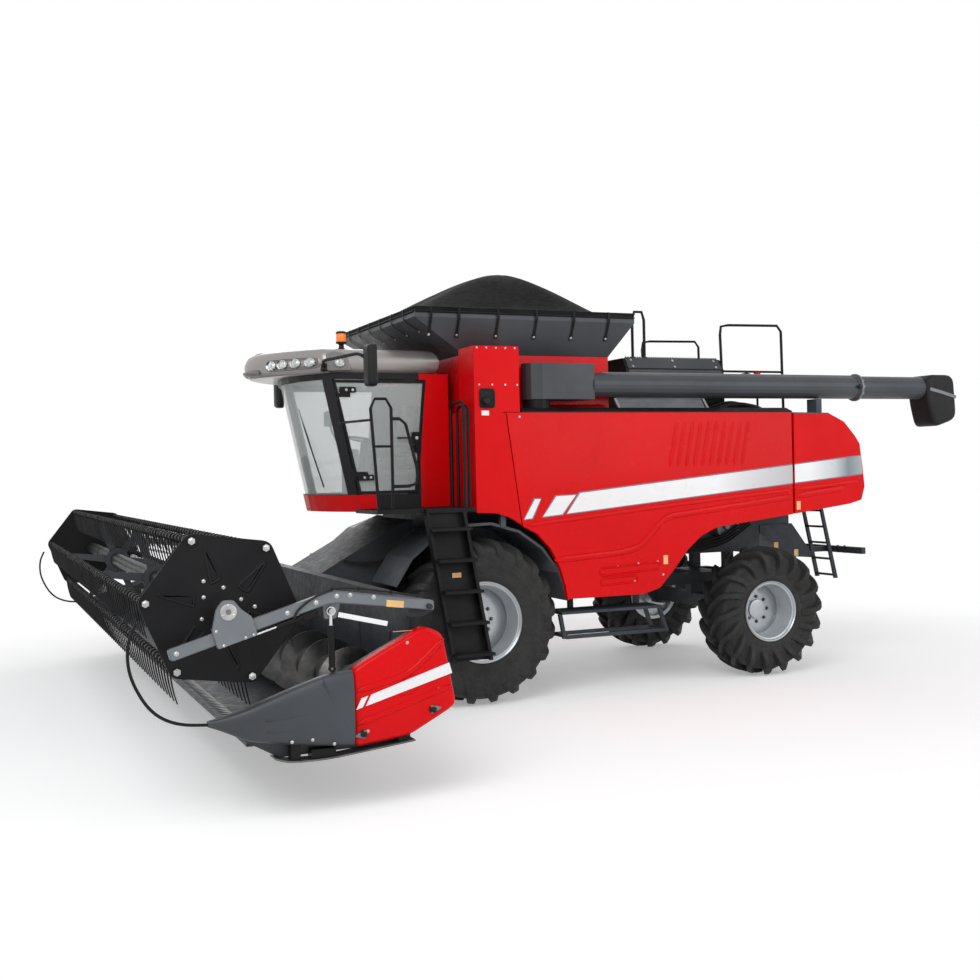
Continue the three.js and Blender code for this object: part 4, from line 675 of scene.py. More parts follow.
def loop_bead(x0, x1, z0, z1, lean, width, height):
    """A bead round a slot with half-round ends: (x, z) runs round the slot, and z leans with x."""
    r = (z1 - z0) / 2
    t = np.linspace(-np.pi / 2, np.pi / 2, 9)
    x = np.concatenate([x1 - r + r * np.cos(t), x0 + r - r * np.cos(t)])
    z = np.concatenate([z0 + r + r * np.sin(t), z0 + r - r * np.sin(t)])
    ring = np.stack([x, np.full(len(x), PANEL_Y), z + (x - x0) * lean], 1)
    ahead = unit(np.roll(ring, -1, axis=0) - np.roll(ring, 1, axis=0))
    out = np.stack([ahead[:, 2], np.zeros(len(x)), -ahead[:, 0]], 1)
    w = width / 2
    section = [(-w, -0.004), (-w, 0), (0, height), (w, 0), (w, -0.004)]
    points = np.stack([ring + out * a + [0, b, 0] for a, b in section], 1)
    return outward(grid(points, close_u=True, close_v=True))


def stripe_top(x):
    """The height of the stripe's upper edge, a straight line that rises to the rear."""
    return 2.225 - 0.0905 * (x + 1.166)


def stripe_foot(x):
    """The height of the stripe's lower edge."""
    return 2.006 - 0.0877 * (x + 1.002)


def label(outline, y=PANEL_Y, thick=0.0016):
    """A thin sheet with straight sides, lying on a side sheet."""
    return plate(outline, y - 0.001, y + thick, "y", 0.0004)


def slanted(front, rear, rear_lean=0.0, grow=0.0, lean=0.165):
    """The part of the stripe between two places along its foot, its ends slanting forward at the foot."""
    return [(front + grow * 1.3, stripe_foot(front) - grow), (rear - grow * 1.3, stripe_foot(rear) - grow),
            (rear - rear_lean - grow * 1.3, stripe_top(rear) + grow),
            (front - lean + grow * 1.3, stripe_top(front - lean) + grow)]


def door_looks(side):
    """Stripe, slashes, pressed ribs, swage lines, slots, a blank plate and bolts of a side door."""
    word = "left" if side > 0 else "right"
    body = f"{word}_side_door"
    main, edge = slanted(-1.002, DOOR_REAR), slanted(-1.002, DOOR_REAR, grow=0.011)
    edge[1], edge[2] = (DOOR_REAR, edge[1][1]), (DOOR_REAR, edge[2][1])
    marks = [slanted(-0.712, -0.945, 0.17), slanted(-0.49, -0.583, 0.105, lean=0.13)]
    rims = [slanted(-0.712, -0.945, 0.17, 0.009), slanted(-0.49, -0.583, 0.105, 0.009, 0.13)]
    put(f"{word}_stripe_edge",
        on_side(join(label(edge, thick=0.0012), *[label(m, thick=0.0012) for m in rims]), side),
        OUTLINE, body, smooth=0)
    put(f"{word}_stripe",
        on_side(join(label(main, thick=0.0026), *[label(m, thick=0.0026) for m in marks]), side),
        DOOR_BAND, body, smooth=0)
    ribs = [bead([(x, 2.487), (x - 0.105, 3.005)], 0.05, 0.012, reach=0.01)
            for x in -2.31 - 0.108 * np.arange(10)]
    lines = [bead([(-0.52, 1.895), (-2.111, 2.038), (-3.3, 2.135), (-3.99, 2.184)], 0.05, 0.009),
             bead([(-0.84, 1.505), (-1.62, 1.551), (-1.87, 1.59), (-2.0, 1.69), (-2.14, 1.84), (-2.28, 1.935),
                   (-2.8, 1.985), (-3.99, 2.109)], 0.075, 0.014)]
    slots = [loop_bead(-2.16, -1.39, 1.345, 1.425, -0.05, 0.026, 0.009),
             loop_bead(-1.86, -1.40, 1.215, 1.29, -0.03, 0.026, 0.009)]
    put(f"{word}_door_pressings", on_side(join(*ribs, *lines, *slots), side), RED, body, smooth=60)
    x, z = -2.235, 1.445
    blank = label([(x + 0.028, z - 0.05), (x - 0.028, z - 0.05), (x - 0.028, z + 0.05),
                   (x + 0.028, z + 0.05)])
    put(f"{word}_door_plate", on_side(blank, side), TAN, body, smooth=0)
    pins = [(-1.62, 1.40), (-1.88, 1.42), (-2.13, 1.43), (-1.83, 1.225), (-2.2, 1.28), (-0.46, 3.06)]
    heads = bolts([(x, PANEL_Y, z) for x, z in pins], LEFTWARD, 0.009, 0.005)
    put(f"{word}_door_bolts", on_side(heads, side), STEEL, body, smooth=0)


def hood_looks(side):
    """The stripe's rear part, with the swage lines carried on round the rear hood."""
    word = "left" if side > 0 else "right"
    x0, x1 = HOOD_FRONT, -5.03
    main = [(x0, stripe_foot(x0)), (x1 - 0.004, stripe_foot(x1)), (x1 + 0.014, stripe_top(x1)),
            (x0, stripe_top(x0))]
    edge = [(x0, stripe_foot(x0) - 0.011), (x1 - 0.006, stripe_foot(x1) - 0.011),
            (x1 + 0.016, stripe_top(x1) + 0.011), (x0, stripe_top(x0) + 0.011)]
    put(f"{word}_rear_stripe_edge", on_side(label(edge, thick=0.0012), side), OUTLINE, smooth=0)
    put(f"{word}_rear_stripe", on_side(label(main, thick=0.0026), side), HOOD_BAND, smooth=0)
    lines = [bead([(-4.05, 2.19), (-5.0, 2.27)], 0.05, 0.009),
             bead([(-4.05, 2.115), (-4.8, 2.195)], 0.075, 0.014)]
    put(f"{word}_hood_pressings", on_side(join(*lines), side), RED, smooth=60)
    put(f"{word}_hood_plate",
        on_side(label([(-4.05, 1.95), (-4.105, 1.95), (-4.105, 2.05), (-4.05, 2.05)]), side), TAN, smooth=0)


def tower_looks(side):
    """Bolts, a recessed fitting with its cap and a blank white plate on the front tower of a side panel."""
    word = "left" if side > 0 else "right"
    spots = [(x, 3.79) for x in np.linspace(-0.42, 0.02, 5)] + [(x, 3.4) for x in (-0.44, -0.3, -0.15, 0.0)]
    heads = bolts([(x, PANEL_Y, z) for x, z in spots], LEFTWARD, 0.008, 0.005)
    put(f"{word}_tower_bolts", on_side(heads, side), STEEL, smooth=0)
    t = np.linspace(0, 2 * np.pi, 29)[:-1]
    square = np.sign(np.cos(t)) * np.abs(np.cos(t)) ** 0.35, np.sign(np.sin(t)) * np.abs(np.sin(t)) ** 0.35
    rings = ((0.092, -0.002), (0.092, 0.006), (0.078, 0.006), (0.074, 0.001))
    points = np.stack([np.stack([-0.085 + square[0] * r, np.full(28, PANEL_Y + d),
                                 3.255 + square[1] * r * 1.15], 1)
                       for r, d in rings])
    put(f"{word}_fitting_well", on_side(outward(grid(points, close_v=True, caps=True)), side), BLACK,
        smooth=30)
    put(f"{word}_fitting_cap", on_side(turned([(0, 0.05), (0.03, 0.048), (0.044, 0.03), (0.046, 0), (0, 0)],
        (-0.07, PANEL_Y, 3.225), "y", 28), side), PLASTIC, smooth=35)
    put(f"{word}_white_plate",
        on_side(label([(-0.02, 3.075), (-0.105, 3.075), (-0.105, 3.125), (-0.02, 3.125)]),
        side), WHITE, smooth=0)


for word, side in SIDES.items():
    door_looks(side)
    hood_looks(side)
    tower_looks(side)


# ---------------------------------------------------------------- header: end shields
def rounded(outline, radius, steps=5):
    """A closed outline whose corners become quadratic curves of the given reach."""
    p = np.asarray(outline, float)
    t = np.linspace(0, 1, steps)[:, None]
    parts = []
    for before, corner, after in zip(np.roll(p, 1, axis=0), p, np.roll(p, -1, axis=0)):
        a = corner + unit(before - corner) * min(radius, np.linalg.norm(before - corner) * 0.45)
        b = corner + unit(after - corner) * min(radius, np.linalg.norm(after - corner) * 0.45)
        parts.append((1 - t) ** 2 * a + 2 * t * (1 - t) * corner + t**2 * b)
    return np.concatenate(parts)


def shell(outline, low, high, roll, bulge=0.0, axis="y"):
    """A moulded cover: an outline from low to high whose rim rolls inwards by a quarter circle of the given
    size; the rings are outline inset by roll (1 - cos t) at the level high - roll (1 - sin t), and the face
    rises by bulge in four rings that shrink towards its middle."""
    p = np.asarray(outline, float)
    t = np.linspace(0, np.pi / 2, 6)
    rings = [(p, low)] + [(inset(p, roll * (1 - np.cos(a))), high - roll * (1 - np.sin(a))) for a in t]
    face = inset(p, roll)
    middle = face.mean(0)
    rings += [(middle + (face - middle) * (1 - 0.2 * k), high + bulge * (1 - (1 - k / 4.0) ** 2))
              for k in (1, 2, 3, 4)]
    e = ACROSS_AND_ALONG[axis]
    points = np.zeros((len(rings), len(p), 3))
    for k, (q, level) in enumerate(rings):
        points[k, :, e[0]], points[k, :, e[1]], points[k, :, e[2]] = q[:, 0], q[:, 1], level
    return outward(grid(points, close_v=True, caps=True))


COVER = [(1.652, 0.742), (1.70, 0.70), (2.03, 0.532), (2.46, 0.487), (2.463, 1.055), (2.26, 1.16),
         (1.90, 1.338), (1.75, 1.275)]


def shield_cover():
    """The red moulded cover at the rear of an end shield."""
    return shell(rounded(COVER, 0.06), 4.862, 4.962, 0.035, 0.004)


def nose():
    """The grey moulded nose. Its section is a superellipse |y/a|^n + |z/b|^n = 1 with n = 3.4, and its
    centre, half width a and half height b run along x through six stations, joined by straight lines smoothed
    once."""
    stations = np.array([
        # x, y centre, z centre, half width, half height
        [2.463, 4.910, 0.775, 0.088, 0.278],
        [2.640, 4.910, 0.778, 0.087, 0.262],
        [2.900, 4.910, 0.755, 0.083, 0.205],
        [3.230, 4.910, 0.727, 0.076, 0.120],
        [3.420, 4.906, 0.748, 0.050, 0.045],
        [3.508, 4.905, 0.757, 0.030, 0.020],
    ])
    x = np.concatenate([[2.463, 2.47], np.linspace(2.5, 3.508, 40)])
    y, z, a, b = (np.interp(x, stations[:, 0], stations[:, k]) for k in (1, 2, 3, 4))
    soft = np.ones(5) / 5
    a[4:-3], b[4:-3], z[4:-3] = (np.convolve(v, soft, "same")[4:-3] for v in (a, b, z))
    t = np.linspace(0, 2 * np.pi, 56, endpoint=False)
    c, s = np.cos(t), np.sin(t)
    power = 2 / 3.4
    points = np.zeros((len(x), len(t), 3))
    points[..., 0] = x[:, None]
    points[..., 1] = y[:, None] + a[:, None] * np.sign(c) * np.abs(c) ** power
    points[..., 2] = z[:, None] + b[:, None] * np.sign(s) * np.abs(s) ** power
    points[0, :, 1:] = points[1, :, 1:]
    return outward(grid(points, close_v=True, caps=True))


def shield_marks(side, word):
    """Stripe and slash, swage lines, latches, creases, bolts, skid, inner sheet, divider hoop and blank plate
    of an end shield."""
    y = 4.967
    stripe = [[(2.372, 0.785), (1.690, 0.972), (1.712, 1.052), (2.329, 0.866)],
              [(2.446, 0.765), (2.396, 0.779), (2.352, 0.860), (2.403, 0.846)]]
    put(f"{word}_shield_stripe", on_side(join(*[label(s, y, 0.003) for s in stripe]), side), WHITE, "header",
        smooth=0)
    lines = [bead([(2.44, 0.90), (2.05, 0.985), (1.92, 1.08), (1.75, 1.235)], 0.045, 0.010, y, 0.05),
             bead([(2.445, 0.655), (1.70, 0.878)], 0.045, 0.010, y, 0.05)]
    put(f"{word}_shield_pressings", on_side(join(*lines), side), RED, "header", smooth=60)
    latch, knobs = [], []
    for x, z, away in ((2.398, 0.583, 1), (1.848, 0.712, -1)):
        tri = [(x + away * 0.075, z - 0.01 * away), (x - away * 0.02, z + 0.036),
               (x - away * 0.02, z - 0.036)]
        latch.append(shell(rounded(tri, 0.02, 4), y - 0.004, y + 0.012, 0.005))
        knobs.append(turned([(0, 0.032), (0.014, 0.031), (0.020, 0.026), (0.022, 0.012), (0.030, 0.009),
                             (0.032, 0), (0, 0)], (x, y, z), "y", 24))
    put(f"{word}_latch_plates", on_side(join(*latch), side), STEEL_GREY, "header", smooth=30)
    put(f"{word}_latch_knobs", on_side(join(*knobs), side), PLASTIC, "header", smooth=35)
    pins = [(2.93, 0.585), (2.78, 0.585), (2.62, 0.54), (2.04, 1.225), (1.80, 0.86), (2.36, 0.60)]
    heads = bolts([(x, 4.965 if x < 2.5 else 4.985, z) for x, z in pins], LEFTWARD,
                  0.010, 0.006)
    put(f"{word}_shield_bolts", on_side(heads, side), STEEL, "header", smooth=0)
    # Creases of the nose and the seam of its cap, as thin lines that stand out of the moulding.
    t = np.linspace(0, 1, 20)[:, None]
    seam = (1 - t) ** 2 * [2.70, 1.03] + 2 * t * (1 - t) * [2.64, 0.86] + t**2 * [2.50, 0.62]
    creases = [bead([(3.12, 0.752), (2.60, 0.80)], 0.014, 0.004, 4.992, 0.02),
               bead([(3.12, 0.672), (2.53, 0.662)], 0.014, 0.004, 4.990, 0.02),
               bead(seam, 0.012, 0.005, 4.9935, 0.02)]
    put(f"{word}_nose_creases", on_side(join(*creases), side), GREY, "header", smooth=60)
    # The skid shoe under the shield: a bent strip with a rounded lip.
    run = [(1.995, 4.90, 0.492), (2.22, 4.90, 0.470), (2.67, 4.90, 0.425), (2.95, 4.90, 0.430),
           (3.055, 4.90, 0.468)]
    shoe = swept(arc_corners(run, 0.12, 6), [(-0.075, 0), (0.075, 0), (0.078, 0.006), (0.075, 0.012),
                                              (-0.075, 0.012), (-0.078, 0.006)])
    put(f"{word}_skid", on_side(shoe, side), WORN_STEEL, "header", smooth=30)
    brackets = [block(2.60, 2.78, 4.84, 4.955, 0.437, 0.505), block(2.05, 2.12, 4.85, 4.95, 0.485, 0.535),
                block(2.86, 2.93, 4.85, 4.95, 0.440, 0.60)]
    put(f"{word}_skid_brackets", on_side(join(*brackets), side), BLACK, "header", smooth=0)
    sheet_edge = [(1.995, 0.475), (2.995, 0.457), (3.28, 0.62), (3.32, 0.785), (2.68, 0.98), (2.52, 1.03),
                  (1.995, 1.285)]
    put(f"{word}_shield_sheet", on_side(plate(sheet_edge, 4.801, 4.862, "y", 0.004), side), GREY, "header",
        smooth=0)
    # The divider hoop, a round bar that parts the crop.
    bar = [(3.45, 4.91, 0.748), (3.72, 4.91, 0.770), (3.90, 4.91, 0.880), (4.03, 4.91, 1.130),
           (4.04, 4.91, 1.350), (3.975, 4.91, 1.490)]
    put(f"{word}_divider", on_side(tube(bar, 0.0115, 0.13, 12, steps=8), side), BLACK, "header")
    put(f"{word}_shield_plate",
        on_side(plate([(1.93, 4.872), (2.12, 4.872), (2.12, 4.885), (1.93, 4.885)], 1.30, 1.304,
        "z", 0.001), side), TAN, "header", smooth=0)


for word, side in SIDES.items():
    put(f"{word}_shield_cover", on_side(shield_cover(), side), RED, "header", replaces=f"{word}_end_shield",
        smooth=40)
    put(f"{word}_nose", on_side(nose(), side), GREY, "header", smooth=50)
    shield_marks(side, word)


# ---------------------------------------------------------------- header: auger, knife and back ribs
# The auger's axis as (x, z), and the spacing of guards and blades.
AUGER = (2.400, 0.900)
KNIFE_STEP = 0.0762


def flight(y0, y1, hand):
    """One helical sheet: at turn angle a the sheet lies at y0 + pitch a / 2 pi, from the tube's radius out to
    the flight's, 5 mm thick at the foot and 3 mm at the edge."""
    turns = abs(y1 - y0) / 0.56
    a = np.linspace(0, 2 * np.pi * turns, int(turns * 36))
    y = y0 + (y1 - y0) * a / a[-1]
    section = [(0.146, -0.0025), (0.272, -0.0015), (0.281, -0.0015), (0.281, 0.0015), (0.272, 0.0015),
               (0.146, 0.0025)]
    r, d = np.array(section).T
    points = np.zeros((len(a), len(r), 3))
    points[..., 0] = AUGER[0] + r * np.cos(hand * a)[:, None]
    points[..., 2] = AUGER[1] + r * np.sin(hand * a)[:, None]
    points[..., 1] = y[:, None] + d
    return outward(grid(points, close_v=True, caps=True))


def auger_fingers():
    """Round fingers that stand out of the tube's middle in a spiral, each reaching 0.278 m from the axis."""
    t = np.arange(14)
    a, y = t * 2.4, np.linspace(-0.5, 0.5, 14)
    d = np.stack([np.cos(a), np.zeros(14), np.sin(a)], 1)
    rod = turned([(0, 0.278), (0.006, 0.277), (0.008, 0.270), (0.008, 0.14), (0.022, 0.138), (0.024, 0.148),
                  (0.0, 0.148)][::-1] + [(0.0, 0.278)], (0, 0, 0), "z", 10)
    return copies(rod, turn_to(d), np.stack([np.full(14, AUGER[0]), y, np.full(14, AUGER[1])], 1))


auger_tube = turned([(0, -4.795), (0.148, -4.795), (0.15, -4.79), (0.15, 4.79), (0.148, 4.795), (0, 4.795)],
                    (AUGER[0], 0, AUGER[1]), "y", 64)
auger_axle = turned([(0, -4.848), (0.034, -4.848), (0.034, 4.848), (0, 4.848)], (AUGER[0], 0, AUGER[1]), "y",
                    24)
put("auger_core", join(auger_tube, auger_axle), WORN_STEEL, "header_auger", replaces="header_auger",
    smooth=40)
put("auger_flights", join(flight(4.77, 0.60, 1), flight(-4.77, -0.60, -1)), WORN_STEEL, "header_auger",
    smooth=40)
put("auger_fingers", auger_fingers(), STEEL, "header_auger", smooth=40)


def knife_guards():
    """Pointed guards along the cutter bar, one every 76 mm: an eight-sided spike that tapers forward."""
    y = np.arange(-4.72, 4.721, KNIFE_STEP)
    x = np.array([0.0, 0.012, 0.045, 0.085, 0.105])
    half = np.array([0.017, 0.017, 0.013, 0.006, 0.0015])
    tall = np.array([0.014, 0.014, 0.012, 0.007, 0.002])
    t = np.linspace(0, 2 * np.pi, 8, endpoint=False) + np.pi / 8
    points = np.zeros((5, 8, 3))
    points[..., 0] = x[:, None]
    points[..., 1], points[..., 2] = half[:, None] * np.cos(t) * 1.08, tall[:, None] * np.sin(t) * 1.08
    spike = outward(grid(points, close_v=True, caps=True))
    return copies(spike, np.eye(3), np.stack([np.full(len(y), 3.105), y, np.full(len(y), 0.557)], 1))


def knife_blades():
    """Knife sections between the guards: thin blades that narrow forward to a blunt tip."""
    y = np.arange(-4.68, 4.681, KNIFE_STEP)
    section = plate([(3.08, -0.036), (3.168, -0.006), (3.168, 0.006), (3.08, 0.036)], 0.5745, 0.5775, "z",
                    0.001)
    return copies(section, np.eye(3), np.stack([np.zeros(len(y)), y, np.zeros(len(y))], 1))


put("knife_guards", knife_guards(), WORN_STEEL, "header", smooth=30)
put("knife_blades", knife_blades(), WORN_STEEL, "header", smooth=0)
back_ribs = [block(1.985, 1.999, y - 0.02, y + 0.02, 0.66, 1.25, 0.004) for y in np.linspace(-4.4, 4.4, 12)
             if abs(y) > 0.75]
put("header_back_ribs", join(*back_ribs), DARK_STEEL, "header", smooth=0)


# ---------------------------------------------------------------- reel
# The reel's axis as (x, z), the radius of its bats' pins, and where its stars stand along it.
REEL = np.array([3.353, 1.536])
PINS = 0.537
STAR_Y = 1.6
PIN_ANGLES = np.radians(7.6 + 60 * np.arange(6))


def around(radius, angles):
    """Points (x, z) on a circle about the reel's axis."""
    return np.stack([REEL[0] + radius * np.cos(angles), REEL[1] + radius * np.sin(angles)], 1)


def reel_end(side, word):
    """The six-cornered end plate with rounded corners, its pressed wedges, and its bolts."""
    y = 4.716
    sheet = plate(rounded(around(0.596, PIN_ANGLES), 0.055, 6), 4.7005, y, "y", 0.003)
    put(f"{word}_reel_plate", on_side(sheet, side), BLACK, "reel", smooth=0)
    facets = []
    for a in PIN_ANGLES + np.pi / 30:
        out, across = np.array([np.cos(a), np.sin(a)]), np.array([-np.sin(a), np.cos(a)])
        tri = [REEL + out * 0.455, REEL + out * 0.475 + across * 0.03, REEL + out * 0.20 + across * 0.075,
               REEL + out * 0.185 - across * 0.03]
        ring = rounded(tri, 0.03, 5)
        rings = [(ring, y - 0.002), (ring, y), (inset(ring, 0.008), y + 0.008),
                 (inset(ring, 0.020), y + 0.003), (inset(ring, 0.024), y + 0.003)]
        points = np.zeros((len(rings), len(ring), 3))
        for k, (q, level) in enumerate(rings):
            points[k, :, 0], points[k, :, 1], points[k, :, 2] = q[:, 0], level, q[:, 1]
        facets.append(outward(grid(points, close_v=True, caps=True)))
    put(f"{word}_reel_facets", on_side(join(*facets), side), BLACK, "reel", smooth=30)
    spots = np.concatenate([around(PINS, PIN_ANGLES), around(0.155, PIN_ANGLES + 0.5),
                            around(0.24, PIN_ANGLES[::2] + 0.9)])
    places = np.stack([spots[:, 0], np.full(len(spots), y), spots[:, 1]], 1)
    big = bolts(places[:6] + [0, 0.026, 0], LEFTWARD, 0.020, 0.010)
    small = bolts(places[6:], LEFTWARD, 0.011, 0.006)
    put(f"{word}_reel_bolts", on_side(join(big, small), side), STEEL, "reel", smooth=0)


def star_arm(y):
    """A reel star: six tapering flat arms from a hub disc out to the bats' pins, at one place along the
    reel."""
    arms = []
    for a in PIN_ANGLES:
        out, across = np.array([np.cos(a), np.sin(a)]), np.array([-np.sin(a), np.cos(a)])
        arm = [REEL + out * 0.06 - across * 0.045, REEL + out * (PINS + 0.03) - across * 0.026,
               REEL + out * (PINS + 0.03) + across * 0.026, REEL + out * 0.06 + across * 0.045]
        arms.append(plate(arm, y - 0.006, y + 0.006, "y", 0.002))
    t = np.linspace(0, 2 * np.pi, 36, endpoint=False)
    hub = plate(around(0.135, t), y - 0.0075, y + 0.0075, "y", 0.002)
    return join(*arms, hub)


TINE_STEP = 0.1524


def tine_row(k):
    """The spring tines of one bat. A tine's wire starts at a coil round the tube and hangs down 0.25 m with a
    slight backward curve: x = -0.035 s^2, z = -0.25 s for s from 0 to 1, its radius falling from 7.2 to 5
    mm."""
    s = np.linspace(0, 1, 8)
    path = np.stack([0.020 - 0.012 * s - 0.035 * s**2, np.zeros(8), -0.010 - 0.250 * s], 1)
    wire = swept(path, circle(1.0, 6), (0, 1, 0), scale=0.0072 - 0.0022 * s)
    c = np.linspace(0, 2 * np.pi * 1.5, 16)
    coil = np.stack([0.030 * np.cos(c), 0.012 * (c / c[-1] - 0.5), 0.030 * np.sin(c)], 1)
    wrap = swept(coil, circle(0.0062, 5), (0, 1, 0))
    y = np.arange(-4.60, 4.601, TINE_STEP)
    y = y[np.abs(np.abs(y) - STAR_Y) > 0.03]
    x, z = around(PINS, PIN_ANGLES[k : k + 1])[0]
    return copies(join(wire, wrap), np.eye(3), np.stack([np.full(len(y), x), y, np.full(len(y), z)], 1))


TINE = finish("tine_black", "black_plastic", (0.008, 0.008, 0.009), (0.02, 0.02, 0.021), (0.3, 0.45),
              size=3.0, bump=0.02, shine=0.15)
middle = [(0, -4.712), (0.072, -4.712), (0.075, -4.709), (0.075, 4.709), (0.072, 4.712), (0, 4.712)]
centre_tube = turned(middle, (REEL[0], 0, REEL[1]), "y", 48)
seams = [turned([(0.0745, y - 0.012), (0.080, y - 0.009), (0.080, y + 0.009), (0.0745, y + 0.012)],
                (REEL[0], 0, REEL[1]), "y", 48) for y in (-3.1, -1.57, 1.57, 3.1)]
put("reel_tube", join(centre_tube, *seams), BLACK, "reel", replaces="reel", smooth=40)
put("reel_stars", join(*[star_arm(y) for y in (-STAR_Y, STAR_Y)]), GREY, "reel", smooth=0)
for k in range(6):
    x, z = around(PINS, PIN_ANGLES[k : k + 1])[0]
    r = node_box(f"reel_bat_{k + 1}")[1][1]
    profile = [(0, -r), (0.020, -r), (0.022, -r + 0.002), (0.022, r - 0.002), (0.020, r), (0, r)]
    put(f"bat_tube_{k + 1}", turned(profile, (x, 0, z), "y", 20), BLACK, f"bat_{k + 1}",
        replaces=f"reel_bat_{k + 1}", smooth=40)
    clamps = [block(x - 0.028, x + 0.028, y - 0.006, y + 0.006, z - 0.040, z + 0.026, 0.004)
              for y in np.arange(-4.45, 4.5, 0.762) if abs(abs(y) - STAR_Y) > 0.05]
    put(f"bat_clamps_{k + 1}", join(*clamps), BLACK, f"bat_{k + 1}", smooth=0)
    put(f"tines_{k + 1}", tine_row(k), TINE, f"bat_{k + 1}", smooth=50)
for word, side in SIDES.items():
    reel_end(side, word)


# ---------------------------------------------------------------- reel arms, carriages and cylinders
ARM0, ARM1 = np.array([2.620, 1.590]), np.array([3.760, 1.254])
ARM_AHEAD = unit(ARM1 - ARM0)
ARM_UP = np.array([-ARM_AHEAD[1], ARM_AHEAD[0]])


def on_arm(along, up):
    """A place (x, z) on the reel arm: along its lower stretch from the knee, and up square to it."""
    return ARM0 + ARM_AHEAD * along + ARM_UP * up


def arm_looks(side, word):
    """A box beam with a rounded knee, its lug, bolts, hose with clips, blank plate, slide cylinder and gauge
    bar."""
    length = float(np.linalg.norm(ARM1 - ARM0))
    outline = np.array([[1.806, 1.448], [1.806, 1.523], [2.598, 1.642], on_arm(0.02, 0.042),
                        on_arm(length, 0.042), on_arm(length, -0.042), on_arm(0.02, -0.042), [2.565, 1.548]])
    put(f"{word}_arm", on_side(plate(rounded(outline, 0.022, 4), 4.871, 4.929, "y", 0.006), side), STEEL_GREY,
        "reel_arms", replaces=f"{word}_reel_arm", smooth=25)
    lug = plate(rounded([(2.555, 1.43), (2.645, 1.43), (2.66, 1.60), (2.50, 1.60)], 0.02, 4), 4.8705, 4.884,
                "y", 0.002)
    eye_pin = turned([(0, 4.873), (0.014, 4.873), (0.014, 4.932), (0.022, 4.932), (0.022, 4.940), (0, 4.940)],
                     (2.60, 0, 1.49), "y", 24)
    put(f"{word}_arm_lug", on_side(lug, side), STEEL_GREY, "reel_arms", smooth=25)
    put(f"{word}_arm_pins", on_side(eye_pin, side), STEEL, "reel_arms", smooth=35)
    spots = [(1.850, 1.480), (2.28, 1.575), (2.56, 1.60), (2.46, 1.60)] + [tuple(on_arm(a, 0)) for a in
             (0.10, 0.32, length - 0.05)]
    heads = bolts([(x, 4.929, z) for x, z in spots], LEFTWARD, 0.014, 0.008)
    put(f"{word}_arm_bolts", on_side(heads, side), STEEL, "reel_arms", smooth=0)
    run = [(1.93, 4.936, 1.56), (2.15, 4.938, 1.605), (2.40, 4.938, 1.648), (2.58, 4.938, 1.662),
           (2.74, 4.938, 1.600), (2.86, 4.938, 1.512), (2.88, 4.938, 1.452)]
    put(f"{word}_arm_hose", on_side(tube(run, 0.0085, 0.10, 10, steps=8), side), PLASTIC, "reel_arms")
    clips = [block(x - 0.008, x + 0.008, 4.924, 4.950, z - 0.014, z + 0.013, 0.002)
             for x, z in ((2.15, 1.605), (2.40, 1.645), (2.60, 1.655))]
    put(f"{word}_hose_clips", on_side(join(*clips), side), BLACK, "reel_arms", smooth=0)
    tag = [(2.185, 1.498), (2.05, 1.481), (2.045, 1.531), (2.18, 1.548)]
    put(f"{word}_arm_plate", on_side(label(tag, 4.929, 0.002), side), TAN, "reel_arms", smooth=0)
    # The slide cylinder lies under the beam: a valve block, a black barrel, and a bright rod to the carriage.
    a, b, c = on_arm(0.20, -0.072), on_arm(0.42, -0.072), on_arm(0.72, -0.072)
    y = 4.900
    barrel = swept(np.array([[a[0], y, a[1]], [b[0], y, b[1]]]), circle(0.022, 20), (0, 1, 0))
    block_outline = [on_arm(0.11, -0.045), on_arm(0.22, -0.045), on_arm(0.22, -0.105), on_arm(0.11, -0.105)]
    put(f"{word}_slide_barrel", on_side(join(barrel, plate(block_outline, 4.875, 4.925, "y", 0.006)), side),
        BLACK, "reel_arms", smooth=40)
    rod = swept(np.array([[b[0], y, b[1]], [c[0], y, c[1]]]), circle(0.0095, 16), (0, 1, 0))
    put(f"{word}_slide_rod", on_side(rod, side), CHROME, "reel_arms", smooth=40)
    bar = swept(np.array([(2.185, 4.945, 1.374), (2.556, 4.945, 1.466)]),
                [(-0.018, -0.003), (0.018, -0.003), (0.018, 0.003), (-0.018, 0.003)], (0, 1, 0))
    put(f"{word}_height_gauge", on_side(bar, side), WHITE, "reel_arms", smooth=0)


